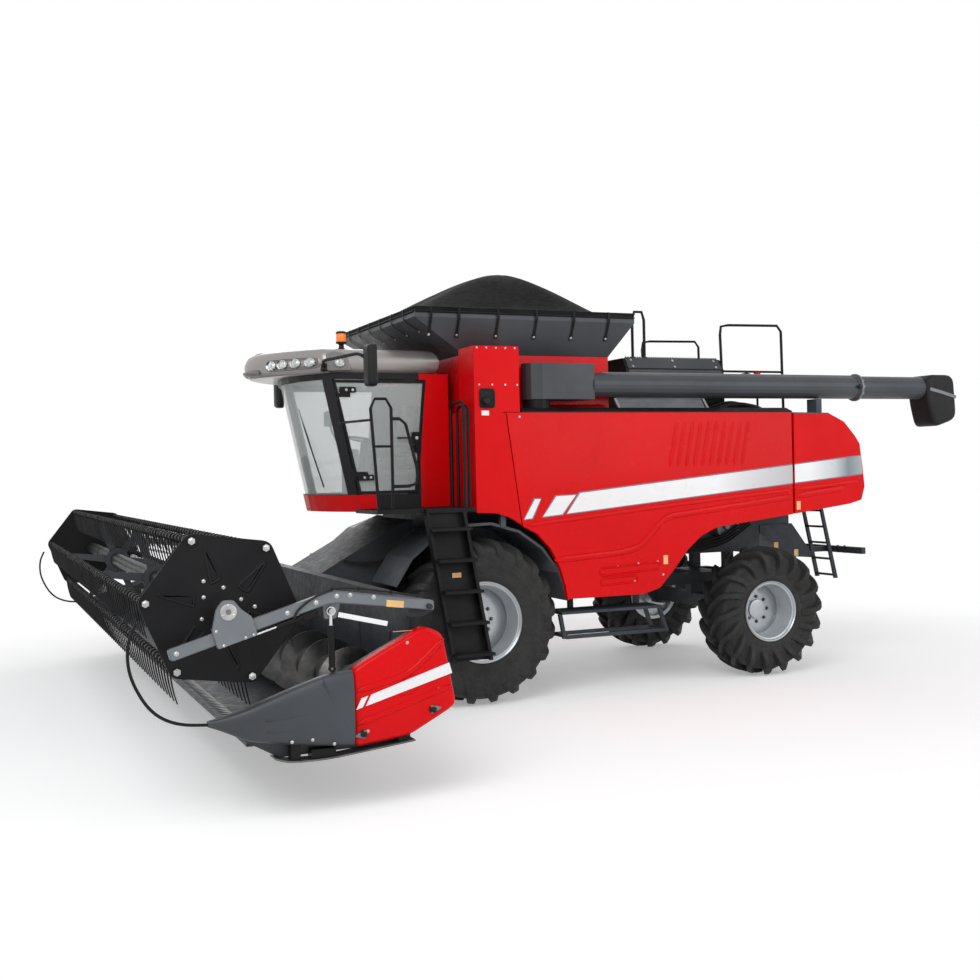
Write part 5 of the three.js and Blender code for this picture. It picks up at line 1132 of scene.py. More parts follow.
def carriage_looks(side, word):
    """The slide plate on an arm, drawn in to a rounded head round the reel's bearing, with its shoes, stub
    shaft, bearing ring and bolts."""
    along = float((REEL - ARM0) @ ARM_AHEAD)
    outline = [on_arm(along - 0.148, -0.070), on_arm(along + 0.148, -0.070), on_arm(along + 0.148, 0.068),
               (REEL[0] + 0.088, REEL[1] + 0.018), (REEL[0] + 0.040, REEL[1] + 0.083),
               (REEL[0] - 0.040, REEL[1] + 0.083), (REEL[0] - 0.088, REEL[1] + 0.018),
               on_arm(along - 0.148, 0.068)]
    body = "reel_carriages"
    face = plate(rounded(outline, 0.02, 4), 4.938, 4.956, "y", 0.002)
    shoes = [plate([on_arm(along - 0.14, u0), on_arm(along + 0.14, u0), on_arm(along + 0.14, u1),
                    on_arm(along - 0.14, u1)], 4.871, 4.940, "y", 0.003)
                    for u0, u1 in ((0.0425, 0.070), (-0.070, -0.0505))]
    put(f"{word}_slide_plate", on_side(join(face, *shoes), side), STEEL_GREY, body,
        replaces=f"{word}_reel_carriage", smooth=25)
    stub = turned([(0, 4.642), (0.038, 4.642), (0.040, 4.645), (0.040, 4.938), (0, 4.938)],
                  (REEL[0], 0, REEL[1]), "y", 32)
    ring = turned([(0.020, 4.955), (0.058, 4.955), (0.058, 4.962), (0.046, 4.966), (0.030, 4.962),
                   (0.020, 4.960)],
                  (REEL[0], 0, REEL[1]), "y", 40)
    put(f"{word}_bearing_ring", on_side(join(stub, ring), side), STEEL, body, smooth=35)
    t = np.radians([90, 210, 330])
    spots = [(REEL[0] + 0.046 * np.cos(a), REEL[1] + 0.046 * np.sin(a)) for a in t]
    spots += [tuple(on_arm(along + a, u))
              for a, u in ((-0.12, -0.058), (-0.06, -0.058), (0.10, -0.058), (0.12, 0.055))]
    heads = bolts([(x, 4.960 if k < 3 else 4.956, z) for k, (x, z) in enumerate(spots)],
                  LEFTWARD, 0.009, 0.007)
    put(f"{word}_slide_bolts", on_side(heads, side), STEEL, body, smooth=0)


for word, side in SIDES.items():
    arm_looks(side, word)
    carriage_looks(side, word)


# ---------------------------------------------------------------- cab roof, lamps, beacon and mirrors
# The brow runs out from its base by its reach in the middle, and falls back by a power of the share across.
ROOF_HALF = 0.985
BROW_BASE, BROW_REACH, BROW_POWER = 1.48, 0.64, 1.7
BEACON = (1.19, 0.6, 0)


def roof_ring(level, back):
    """The roof's outline at a level, drawn in by back: the brow is x = 1.48 + (0.64 - back)(1 - |t|^1.7) for
    t from -1 to 1 across the half width, and the sides run straight back to x = 0.2."""
    half = ROOF_HALF - back
    t = np.linspace(-1, 1, 61)
    brow = np.stack([BROW_BASE + (BROW_REACH - back) * (1 - np.abs(t) ** BROW_POWER), half * t], 1)
    side = np.stack([np.linspace(0.2 + back, 1.42, 10), np.full(10, half)], 1)
    rear = np.stack([np.full(9, 0.2 + back), np.linspace(-0.9, 0.9, 9) * half], 1)
    xy = np.concatenate([brow, side[::-1], rear[::-1], side * [1, -1]])
    return np.concatenate([xy, np.full((len(xy), 1), level)], 1)


levels = [(3.5605, 0.20), (3.5605, 0.062), (3.568, 0.050), (3.62, 0.012), (3.665, 0.001), (3.70, 0.001),
          (3.75, 0.018), (3.785, 0.040), (3.812, 0.075), (3.826, 0.13), (3.830, 0.22), (3.8305, 0.5)]
roof = outward(grid(np.stack([roof_ring(*level) for level in levels]), close_v=True, caps=True))
put("roof_shell", roof, PEWTER, replaces="cab_roof", smooth=50)


def brow_out(t):
    """Directions (x, y) square to the brow at shares t of the half width, from the slope of its formula."""
    slope = BROW_REACH * BROW_POWER * np.abs(t) ** (BROW_POWER - 1) * np.sign(t)
    return unit(np.stack([np.full(t.shape, ROOF_HALF), slope], -1))


def brow(t, z, d):
    """A place on the roof's brow at share t of the half width and height z, and d off its surface."""
    t = np.asarray(t, float)
    x, y = BROW_BASE + BROW_REACH * (1 - np.abs(t) ** BROW_POWER), ROOF_HALF * t
    n = brow_out(t)
    back = np.interp(z, [3.56, 3.62, 3.665, 3.70, 3.75, 3.785], [0.055, 0.012, 0.001, 0.001, 0.018, 0.040])
    return np.stack([x + n[..., 0] * (d - back), y + n[..., 1] * (d - back), np.broadcast_to(z, x.shape)], -1)


def bezel(t0, t1, z0, z1, rim=0.012, deep=0.001):
    """A raised frame that follows the brow with a sunk field: rings of one rounded outline in (t, z), drawn
    in and lifted off the surface one after another."""
    n = 40
    s = np.linspace(0, 2 * np.pi, n * 2, endpoint=False)
    c, k = np.cos(s), np.sin(s)
    ct, cz, ht, hz = (t0 + t1) / 2, (z0 + z1) / 2, (t1 - t0) / 2, (z1 - z0) / 2
    q = 0.42
    shape_t, shape_z = np.sign(c) * np.abs(c) ** q, np.sign(k) * np.abs(k) ** q
    rings = []
    for draw, lift in ((-0.004, -0.003), (0.0, 0.006), (0.004, rim), (0.012, rim), (0.016, 0.006),
                       (0.018, deep)):
        rings.append(brow(ct + shape_t * (ht - draw), cz + shape_z * (hz - draw), lift))
    return outward(grid(np.stack(rings), close_v=True, caps=True))


def lamp_parts(places, normals, wide=0.060, tall=0.046):
    """Round lamps: a bright rim and a lens that bulges by a low arch, each stretched to an oval."""
    r = [(0.0, 0.000), (1.0, 0.000), (1.12, 0.004), (1.12, 0.016), (1.0, 0.024), (0.80, 0.012), (0.0, 0.008)]
    glass = [(0.0, 0.0235), (0.3, 0.0230), (0.5, 0.0205), (0.68, 0.016), (0.79, 0.011), (0.0, 0.010)]
    stretch = np.array([wide, tall, 1.0])
    ring, lens = (turned(p, (0, 0, 0), "z", 36) for p in (r, glass))
    turns = []
    for n in unit(np.asarray(normals, float)):
        across = unit(np.cross([0, 0, 1.0], n))
        turns.append(np.stack([across, np.cross(n, across), n], -1))
    return [copies((co * stretch, f), np.array(turns), places) for co, f in (ring, lens)]


TRIM = finish("lamp_trim", "roof_paint", (0.16, 0.155, 0.15), (0.21, 0.2, 0.195), (0.35, 0.45), metal=0.4,
              size=4.0, bump=0.01, round_edges=0.004)
for word, side in SIDES.items():
    put(f"{word}_lamp_bezel", on_side(bezel(0.405, 0.955, 3.606, 3.742), side), PEWTER, smooth=45)
    put(f"{word}_lamp_field", on_side(bezel(0.425, 0.935, 3.622, 3.726, 0.0045, 0.0035), side), TRIM,
        smooth=45)
    t = np.array([0.486, 0.607, 0.738, 0.872])
    spots = brow(t, np.array([3.665, 3.670, 3.674, 3.674]), 0.006)
    ahead = np.concatenate([brow_out(t), np.zeros((len(t), 1))], 1)
    rings, lenses = lamp_parts(spots, ahead)
    side_rings, side_lenses = lamp_parts([(1.335, ROOF_HALF + 0.008, 3.668)], [(0.12, 1, 0)], 0.052, 0.046)
    put(f"{word}_lamp_rims", on_side(join(rings, side_rings), side), CHROME, smooth=40)
    put(f"{word}_lamp_lenses", on_side(join(lenses, side_lenses), side), LENS, smooth=60)
    corner = [(1.20, 3.585), (1.47, 3.575), (1.475, 3.76), (1.40, 3.79), (1.25, 3.765)]
    put(f"{word}_lamp_corner",
        on_side(shell(rounded(corner, 0.03), ROOF_HALF - 0.06, ROOF_HALF + 0.012, 0.012), side),
        TRIM, smooth=40)
    z0 = 3.5603
    arm = [(1.46, 0.93, z0 + 0.06), (1.56, 1.12, z0 + 0.11), (1.36, 1.80, z0 + 0.13), (1.29, 1.90, z0 + 0.03)]
    put(f"{word}_mirror_arm", on_side(tube(arm, 0.017, 0.10, 14, steps=8), side), PLASTIC)
    foot = block(1.40, 1.52, 0.90, 0.992, 3.575, 3.665, 0.012)
    put(f"{word}_mirror_foot", on_side(foot, side), PLASTIC, smooth=30)
    case = shell(rounded([(1.797, 3.352), (2.003, 3.352), (2.003, 3.768), (1.797, 3.768)], 0.05, 6), 1.246,
                 1.335, 0.045, 0.006, "x")
    put(f"{word}_mirror_case", on_side(case, side), PLASTIC, smooth=45)
    face = plate(rounded([(1.810, 3.365), (1.990, 3.365), (1.990, 3.755), (1.810, 3.755)], 0.04, 6), 1.2405,
                 1.2465, "x", 0.001)
    put(f"{word}_mirror_face", on_side(face, side), MIRROR, smooth=0)

beacon_base = turned([(0, 3.828), (0.062, 3.828), (0.060, 3.838), (0.030, 3.865), (0.026, 3.895),
                      (0.034, 3.905), (0.058, 3.912), (0.060, 3.928), (0, 3.928)], BEACON, "z", 36)
beacon_cap = turned([(0, 4.020), (0.058, 4.020), (0.058, 4.034), (0.045, 4.044), (0, 4.046)], BEACON, "z", 36)
a = np.linspace(0, 2 * np.pi, 72, endpoint=False)
ribbed = 0.0535 + 0.0015 * np.cos(24 * a)
z = np.array([3.928, 3.932, 3.975, 4.016, 4.020])
draw = np.array([0.96, 1.0, 0.98, 0.95, 0.9])
dome = np.zeros((5, 72, 3))
dome[..., 0] = BEACON[0] + draw[:, None] * ribbed * np.cos(a)
dome[..., 1] = BEACON[1] + draw[:, None] * ribbed * np.sin(a)
dome[..., 2] = z[:, None]
put("beacon_base", beacon_base, PLASTIC, smooth=40)
put("beacon_dome", outward(grid(dome, close_v=True, caps=True)), AMBER, smooth=50)
put("beacon_cap", beacon_cap, PLASTIC, smooth=40)
t = np.linspace(-0.30, 0.30, 25)
visor = np.stack([brow(t, 3.584, 0.004), brow(t, 3.584 + 0.03 * (1 - np.abs(t) / 0.3), 0.030),
                  brow(t, 3.600 + 0.03 * (1 - np.abs(t) / 0.3), 0.030), brow(t, 3.640, 0.002)], 1)
put("roof_visor", outward(grid(visor, close_v=True, caps=True)), TRIM, smooth=40)
put("roof_pad", block(0.5, 0.7, -0.1, 0.1, 3.8302, 3.8702, 0.004), TRIM, smooth=0)
bump_pod = [(0, 3.86), (0.03, 3.858), (0.062, 3.850), (0.085, 3.838), (0.094, 3.822), (0.094, 3.80),
            (0, 3.80)]
put("roof_pod", turned(bump_pod, (1.90, -0.1, 0), "z", 40), TRIM, smooth=50)

# ---------------------------------------------------------------- cab door, wiper and inside
for z, x in ((3.383, 1.295), (2.446, 1.115)):
    strap = shell(rounded([(x - 0.15, z - 0.032), (x + 0.035, z - 0.032), (x + 0.035, z + 0.032),
                           (x - 0.15, z + 0.032)],
                          0.025, 5), 0.945, 0.966, 0.006)
    put(f"door_strap_{int(z)}", strap, BLACK, "cab_door", smooth=40)
    put(f"door_strap_bolts_{int(z)}", bolts([(x - 0.04, 0.966, z), (x - 0.11, 0.966, z)], LEFTWARD, 0.011,
        0.007), STEEL, "cab_door", smooth=0)
lock = shell(rounded([(0.435, 2.80), (0.53, 2.80), (0.53, 2.93), (0.435, 2.93)], 0.02, 5), 0.945, 0.972,
             0.006)
handle = tube([(0.52, 0.975, 2.865), (0.62, 0.982, 2.865), (0.70, 0.975, 2.865)], 0.009, 0.05, 10)
put("door_lock", join(lock, handle), BLACK, "cab_door", smooth=40)
put("door_lock_bolt", bolts([(0.475, 0.972, 2.865)], LEFTWARD, 0.014, 0.008), STEEL, "cab_door", smooth=0)
wiper = tube([(1.40, 0.52, 2.35), (1.50, 0.42, 2.75), (1.585, 0.22, 3.22)], 0.008, 0.2, 8, steps=8)
put("wiper", wiper, PLASTIC)


def cushion(centre, half, power=0.55, lean=0.0, hollow=0.0):
    """A stuffed block: the superellipsoid c + h s(u) s(v) with the sines and cosines raised to a power under
    one, leaned back with height and hollowed along its middle."""
    u = np.linspace(-np.pi / 2, np.pi / 2, 25)[:, None]
    v = np.linspace(0, 2 * np.pi, 48, endpoint=False)[None]
    bend = lambda w: np.sign(w) * np.abs(w) ** power
    x, y = half[0] * bend(np.cos(u)) * bend(np.cos(v)), half[1] * bend(np.cos(u)) * bend(np.sin(v))
    z = half[2] * bend(np.sin(u)) * np.ones_like(v)
    z = z - hollow * (1 - (y / half[1]) ** 2) * (z > 0)
    x = x - lean * (z / half[2])
    return outward(weld(grid(np.stack([x + centre[0], y + centre[1], z + centre[2]], -1), close_v=True)))


seat_pieces = {
    "seat_cushion": cushion((0.46, 0, 2.60), (0.22, 0.255, 0.075), 0.5, 0.0, 0.018),
    "seat_back": cushion((0.255, 0, 2.93), (0.062, 0.245, 0.26), 0.5, 0.018),
    "seat_head": cushion((0.228, 0, 3.215), (0.045, 0.13, 0.062), 0.6),
    "seat_arm_left": cushion((0.43, 0.235, 2.80), (0.16, 0.028, 0.025), 0.6),
    "seat_arm_right": cushion((0.43, -0.235, 2.80), (0.16, 0.028, 0.025), 0.6),
}
for name, shape in seat_pieces.items():
    made = put(name, shape, SEAT_CLOTH, replaces="operator_seat" if name == "seat_cushion" else (), smooth=60)
base = [block(0.25, 0.60, -0.20, 0.20, 2.131, 2.20, 0.01), block(0.30, 0.56, -0.16, 0.16, 2.20, 2.46, 0.02),
        block(0.24, 0.64, -0.22, 0.22, 2.46, 2.53, 0.012)]
put("seat_base", join(*base), SOFT_GREY, smooth=0)
console = [block(0.30, 0.86, -0.62, -0.34, 2.131, 2.72, 0.02),
           block(0.72, 0.90, -0.56, -0.36, 2.72, 2.78, 0.015)]
put("side_console", join(*console), SOFT_GREY, smooth=0)
arm = tube([(0.84, -0.44, 2.76), (0.98, -0.46, 2.90), (1.06, -0.42, 3.10)], 0.012, 0.08, 10)
put("screen_arm", arm, PLASTIC)
put("screen_box", block(1.055, 1.085, -0.54, -0.30, 3.05, 3.23, 0.008), PLASTIC, smooth=0)


# ---------------------------------------------------------------- cover over the grain tank
COVER_X, COVER_HALF, PEAK = (-2.072, 0.612), 1.342, -0.97


def cover_height(x, y):
    """How high the taut sheet stands: a tent F(r) = (1 - r^1.6)^1.3 whose top is nearer the rear, where r is
    0.62 of the way out in a rounded square of power 4.5 and 0.38 of the way out in a circle, with low creases
    that run out from the top and a slight sag between the hoops."""
    u = (x - PEAK) / np.where(x > PEAK, COVER_X[1] - PEAK, PEAK - COVER_X[0])
    v = y / COVER_HALF
    r = np.clip((np.abs(u) ** 4.5 + np.abs(v) ** 4.5) ** (1 / 4.5), 0, 1)
    r = 0.62 * r + 0.38 * np.clip(np.hypot(u, v), 0, 1)
    lift = np.clip(1 - r**1.6, 0, 1) ** 1.3
    turn = np.arctan2(v, u)
    fold = 0.011 * np.sin(11 * turn + 1.7 * np.sin(2 * turn)) * r**1.2 * (1 - r**5)
    sag = 0.008 * np.sin(6.0 * u + 0.5) * np.sin(5.0 * v) * lift
    return 4.238 + 0.60 * lift + fold + sag


s, t = np.linspace(-1, 1, 121), np.linspace(-1, 1, 109)
X, Y = np.meshgrid(COVER_X[0] + (s + 1) / 2 * (COVER_X[1] - COVER_X[0]), t * COVER_HALF, indexing="ij")
sheet_top = put("tank_sheet", outward(grid(np.stack([X, Y, cover_height(X, Y)], -1))), CLOTH,
                replaces="tank_cover", smooth=60, thick=0.004)


def edge_ring(out, level, profile):
    """A closed (out, up) profile carried round the cover's edge at one level."""
    x0, x1, half = COVER_X[0] - out, COVER_X[1] + out, COVER_HALF + out
    path = rounded([(x1, half), (x0, half), (x0, -half), (x1, -half)], 0.05, 6)
    path = np.concatenate([path, np.full((len(path), 1), level)], 1)
    along = unit(np.roll(path, -1, 0) - np.roll(path, 1, 0))
    side = np.stack([along[:, 1], -along[:, 0], 0 * along[:, 0]], 1)
    profile = np.asarray(profile)
    out_part, up_part = profile[None, :, :1], profile[None, :, 1:]
    points = path[:, None] + side[:, None] * out_part + np.array([0, 0, 1.0]) * up_part
    return outward(grid(points, close_u=True, close_v=True))


hem = [(-0.006, 0.012), (0.004, 0.009), (0.008, 0.0), (0.008, -0.05), (0.004, -0.056), (0.0, -0.05),
       (-0.001, 0.0)]
put("tank_sheet_hem", edge_ring(-0.008, 4.236, hem), CLOTH, smooth=50)
put("tank_sheet_rope", edge_ring(0.0, 4.196, circle(0.006, 8)), PLASTIC)
strap_section = [(-0.014, 0), (0.014, 0), (0.014, 0.003), (-0.014, 0.003)]
WALL_OUT = unit(np.array([0, 0.375, -0.17]))


def on_wall(x, z, d):
    """A place on the extension's flared left side at height z, d off it."""
    return np.array([x, 1.16 + 0.17 * (z - 3.76) / 0.375, z]) + WALL_OUT * d


for word, side in SIDES.items():
    pieces, heads = [], []
    for x in (0.42, 0.10, -0.36, -0.82, -1.28, -1.72):
        path = [(x, 1.340, 4.247), (x, 1.352, 4.228), (x, 1.350, 4.15), on_wall(x, 4.10, 0.010),
                on_wall(x, 3.965, 0.006)]
        pieces.append(swept(arc_corners(path, 0.02, 4), strap_section, (0, 1, 0.3)))
        foot = np.array([on_wall(x + a, z, 0)
                         for a, z in ((-0.02, 3.935), (0.02, 3.935), (0.02, 3.99), (-0.02, 3.99))])
        pieces.append(outward(grid(np.stack([foot, foot + WALL_OUT * 0.010]), close_v=True, caps=True)))
        heads += [on_wall(x, 3.96, 0.010)]
    put(f"{word}_cover_straps", on_side(join(*pieces), side), BLACK, smooth=0)
    put(f"{word}_strap_bolts", on_side(bolts(heads, WALL_OUT, 0.011, 0.008), side), STEEL, smooth=0)
places = np.array([-1.0, -0.6, -0.2, 0.2, 0.6, 1.0])
front = [swept(arc_corners([(0.606, y, 4.248), (0.620, y, 4.228), (0.612, y, 4.15), (0.580, y, 4.108),
                            (0.412, y, 4.006)], 0.02, 4), strap_section, (1, 0, 0.3)) for y in places]
put("front_cover_straps", join(*front), BLACK, smooth=0)
put("front_strap_bolts", bolts([(0.430, y, 4.015) for y in places], (0.524, 0, -0.852), 0.011, 0.008), STEEL,
    smooth=0)

# ---------------------------------------------------------------- cooler, screen and hoses on the deck
teeth = np.linspace(-3.44, -2.19, 40)[:, None]
saw = np.concatenate([teeth, teeth + 0.007, teeth + 0.016, teeth + 0.022], 1)
comb = np.stack([saw.ravel(), np.tile([3.782, 3.800, 3.800, 3.782], 40)], 1)
comb = np.concatenate([[(-3.46, 3.765)], comb, [(-2.15, 3.765)]])
put("cooler_comb", plate(comb, 0.895, 0.915, "y", 0.001), DARK_STEEL, smooth=0)
SLOPE_OUT = unit(np.array([0, 0.13, 0.09]))


def on_slope(x, share, d):
    """A place on the cooler's sloping edge: share runs from its foot to its top, d lies off it."""
    return np.array([x, 1.0 - 0.09 * share, 3.65 + 0.13 * share]) + SLOPE_OUT * d


ring = [[on_slope(x, s, d) for x, s in ((-3.45, 0.02), (-2.16, 0.02), (-2.16, 0.98), (-3.45, 0.98))]
        for d in (0, 0.008)]
face = outward(grid(np.array(ring), close_v=True, caps=True))
low_face = plate(rounded([(-3.45, 3.34), (-2.16, 3.34), (-2.16, 3.645), (-3.45, 3.645)], 0.02), 0.998, 1.008,
                 "y", 0.003)
put("cooler_face", join(face, low_face), GREY, smooth=0)
heads = [on_slope(x, s, 0.008) for x in (-3.38, -2.80, -2.23) for s in (0.2, 0.8)]
put("cooler_bolts", bolts(heads, SLOPE_OUT, 0.012), STEEL, smooth=0)


def lean(x, share, d):
    """A place on the leaning screen: share runs up it, from the deck to the cooler's side, and d lies off
    it."""
    return np.array([x, 1.22 - 0.20 * share, 3.075 + 0.235 * share]) + unit(np.array([0, 0.235, 0.2])) * d


def lean_plate(x0, x1, s0, s1, d0, d1):
    """A flat piece on the leaning screen, between two places each way."""
    ring = [[lean(x, s, d) for x, s in ((x0, s0), (x1, s0), (x1, s1), (x0, s1))] for d in (d0, d1)]
    return outward(grid(np.array(ring), close_v=True, caps=True))


rows = [lean_plate(-3.10, -1.99, s, s + 0.030, 0.002, 0.008) for s in np.linspace(0.10, 0.86, 14)]
put("screen_field", lean_plate(-3.12, -1.97, 0.03, 0.97, -0.012, 0.002), SCREEN, smooth=0)
put("screen_rows", join(*rows), SCREEN, smooth=0)
bars = [lean_plate(-3.16, -1.93, s, s + 0.1, -0.012, 0.018) for s in (0.0, 0.90)]
bars += [lean_plate(x, x + 0.03, 0.0, 1.0, -0.012, 0.018) for x in (-3.16, -1.96)]
put("screen_rim", join(*bars), RIM, smooth=0)
DECK_HOSES = [(1.12, 0.0, 0.0), (1.18, 0.035, 0.05), (1.24, 0.06, 0.09), (1.06, 0.09, 0.02)]
for k, (y, lift, reach) in enumerate(DECK_HOSES):
    path = [(-3.02 + reach, y - 0.10, 3.09), (-3.26 + reach, y, 3.10 + lift), (-3.50, y + 0.02, 3.17 + lift),
            (-3.74 - reach, y, 3.12 + lift), (-3.95 - reach, y - 0.12, 3.075)]
    put(f"deck_hose_{k}", tube(path, 0.024, 0.12, 12, steps=8), PLASTIC)
clips = [block(x, x + 0.03, 1.0, 1.30, 3.06, 3.13, 0.006) for x in (-3.26, -3.74)]
put("deck_hose_clips", join(*clips), STEEL, smooth=0)
pipe = [(-3.44, 0.95, 3.58), (-3.72, 0.95, 3.585), (-3.86, 0.95, 3.62), (-3.98, 0.95, 3.56),
        (-4.0, 0.95, 3.30), (-4.0, 0.95, 3.06)]
put("deck_pipe", tube(pipe, 0.014, 0.06, 12), PLASTIC)
cap = turned([(0, -0.01), (0.040, -0.01), (0.044, 0.02), (0.038, 0.045), (0.014, 0.05), (0, 0.05)],
             (-4.0, 0.95, 3.585), "z", 24)
put("filler_cap", cap, RED, smooth=40)

# ---------------------------------------------------------------- unloading tube's end, clamp and spout
TUBE_Y, TUBE_Z = 1.38, 3.42
collar = [(0.138, 0), (0.152, 0.002), (0.152, 0.020), (0.168, 0.022), (0.168, 0.046), (0.152, 0.048),
          (0.152, 0.064), (0.138, 0.066)]
put("tube_collar_0", turned(collar, (-5.172, TUBE_Y, TUBE_Z), "x", 64), STEEL_GREY, "unloading_auger",
    smooth=40)
turn = np.linspace(0, 2 * np.pi, 12, endpoint=False)
around_tube = np.stack([0 * turn, np.cos(turn), np.sin(turn)], 1)
heads = np.array([-5.126, TUBE_Y, TUBE_Z]) + around_tube * 0.155
put("tube_flange_bolts", bolts(heads + [-0.034, 0, 0], (-1, 0, 0), 0.009, 0.007), STEEL, "unloading_auger",
    smooth=0)
knob = turned([(0, 0.045), (0.020, 0.044), (0.028, 0.034), (0.028, 0.020), (0.014, 0.012), (0.014, 0),
               (0, 0)],
              (-5.08, 1.518, TUBE_Z), "y", 28)
put("tube_knob", knob, PLASTIC, "unloading_auger", smooth=45)
seam = swept([(x, TUBE_Y, TUBE_Z + 0.142) for x in (-5.10, -4.0, -2.0, -1.60)],
             [(-0.018, -0.004), (0.018, -0.004), (0.018, 0.002), (0.004, 0.008), (-0.004, 0.008),
              (-0.018, 0.002)])
put("tube_seam", seam, STEEL_GREY, "unloading_auger", smooth=0)
line = rounded([(-6.148, 3.262), (-6.148, 3.582), (-6.586, 3.582), (-6.628, 3.025), (-6.245, 2.908)], 0.12, 7)
put("spout_skin", shell(line, 1.212, 1.548, 0.05, 0.004), PLASTIC, "unloading_auger", "unloading_spout",
    smooth=50)
bar = swept([(-6.18, 1.552, 3.40), (-6.36, 1.556, 3.36), (-6.60, 1.552, 3.30)],
            [(-0.002, -0.02), (0.003, -0.02), (0.003, 0.02), (-0.002, 0.02)])
put("spout_bar", bar, STEEL_GREY, "unloading_auger", smooth=0)


# ---------------------------------------------------------------- belts, hoses and blank plates low down
CORE_HALF = 0.78


def pulley(x, z, r, y, wide=0.07):
    """A belt wheel: a hub, a web, and a rim with two grooves, turned about y."""
    line = [(0, 0.055), (0.035, 0.055), (0.04, 0.02), (r * 0.72, 0.012), (r - 0.022, 0.018),
            (r - 0.018, wide), (r, wide), (r - 0.012, wide * 0.78), (r, wide * 0.54),
            (r - 0.012, wide * 0.28), (r, 0.002), (r, 0), (0, 0)]
    return turned(line, (x, y, z), "y", 48)


def belt(x0, z0, r0, x1, z1, r1, y, wide=0.05):
    """A closed belt round two wheels: two arcs joined by the outer tangents, with a flat section."""
    d = np.array([x1 - x0, z1 - z0])
    gap, turn = np.linalg.norm(d), np.arctan2(d[1], d[0])
    lean_angle = np.arccos((r0 - r1) / gap)
    a = np.linspace(lean_angle, 2 * np.pi - lean_angle, 22) + turn
    b = np.linspace(-lean_angle, lean_angle, 22) + turn
    line = np.concatenate([np.stack([x0 + r0 * np.cos(a), z0 + r0 * np.sin(a)], 1),
                           np.stack([x1 + r1 * np.cos(b), z1 + r1 * np.sin(b)], 1)])
    centre = np.array([(x0 + x1) / 2, (z0 + z1) / 2])
    n = unit(line - centre)
    section = [(-0.004, 0.0), (0.008, 0.0), (0.008, wide), (-0.004, wide)]
    points = np.stack([np.stack([line[:, 0] + n[:, 0] * u, np.full(len(line), y + w),
                                 line[:, 1] + n[:, 1] * u], 1)
                       for u, w in section], 1)
    return outward(grid(points, close_u=True, close_v=True))


for word, side in SIDES.items():
    y = CORE_HALF + 0.006
    wheels = [(-3.60, 1.74, 0.16), (-3.10, 1.94, 0.09), (-2.70, 1.34, 0.10), (-1.30, 1.30, 0.14),
              (-1.80, 1.22, 0.08)]
    put(f"{word}_pulleys", on_side(join(*[pulley(x, z, r, y) for x, z, r in wheels]), side), STEEL_GREY,
        smooth=35)
    belts = [belt(*wheels[0], *wheels[1], y + 0.01), belt(*wheels[3], *wheels[4], y + 0.01)]
    put(f"{word}_belts", on_side(join(*belts), side), PLASTIC, smooth=40)
    hoses = [tube([(-3.95, y + 0.03, 1.86 - 0.035 * k), (-3.55, y + 0.10, 1.64 - 0.035 * k),
                   (-3.05, y + 0.11, 1.57 - 0.04 * k), (-2.60, y + 0.05, 1.60 - 0.045 * k)], 0.014, 0.18, 10,
                   steps=8)
             for k in range(4)]
    hoses += [tube([(0.55, 0.60 + 0.05 * k, 1.62), (0.80, 0.62 + 0.05 * k, 1.54 - 0.02 * k),
                    (1.05, 0.60 + 0.05 * k, 1.50), (1.25, 0.58 + 0.05 * k, 1.55)], 0.013, 0.10, 10, steps=6)
              for k in range(3)]
    put(f"{word}_hoses", on_side(join(*hoses), side), PLASTIC)
    tags = [plate(rounded([(x - 0.032, z - 0.042), (x + 0.032, z - 0.042), (x + 0.032, z + 0.042),
                           (x - 0.032, z + 0.042)],
                          0.008, 4), y0, y0 + 0.003, "y", 0.001)
            for x, z, y0 in ((-4.354, 1.474, 0.791), (-4.658, 1.372, 0.791),
                             (-2.92, 1.60, CORE_HALF + 0.001))]
    put(f"{word}_tags", on_side(join(*tags), side), TAN, smooth=0)

# The ladder: a blank plate on its back and checker bars on its treads.
t = (1.418 - 0.545) / 1.521
back_y = 1.70 + 0.19 * (1 - t) + 0.008
tag = plate([(0.32, 1.395), (0.42, 1.395), (0.42, 1.445), (0.32, 1.445)], back_y, back_y + 0.003, "y", 0.001)
put("ladder_tag", tag, TAN, smooth=0)
ribs = []
for t in (0.04, 0.25, 0.46, 0.67, 0.88):
    x, y, z = 0.25 - 0.19 * (1 - t), 1.70 + 0.19 * (1 - t), 0.545 + 1.521 * t + 0.03
    ribs += [block(x + 0.03, x + 0.41, y + d, y + d + 0.012, z - 0.001, z + 0.005, 0.001)
             for d in np.arange(0.03, 0.19, 0.03)]
put("ladder_ribs", join(*ribs), BLACK, smooth=0)
step_marks = [block(0.16, 1.16, y, y + 0.012, 2.1095, 2.114, 0.001) for y in np.arange(1.02, 1.66, 0.04)]
put("platform_ribs", join(*step_marks), BLACK, smooth=0)

# Tail lamps on the rear light bar.
for word, side in SIDES.items():
    lamp = turned([(0, 0.016), (0.03, 0.015), (0.045, 0.010), (0.050, 0.0), (0, 0.0)], (0, 0, 0), "z", 28)
    spots = np.array([(-5.332, 0.90, 1.39), (-5.332, 0.77, 1.39)])
    put(f"{word}_tail_lamp", on_side(copies(lamp, turn_to((-1, 0, 0)), spots), side), RED_LENS, smooth=50)


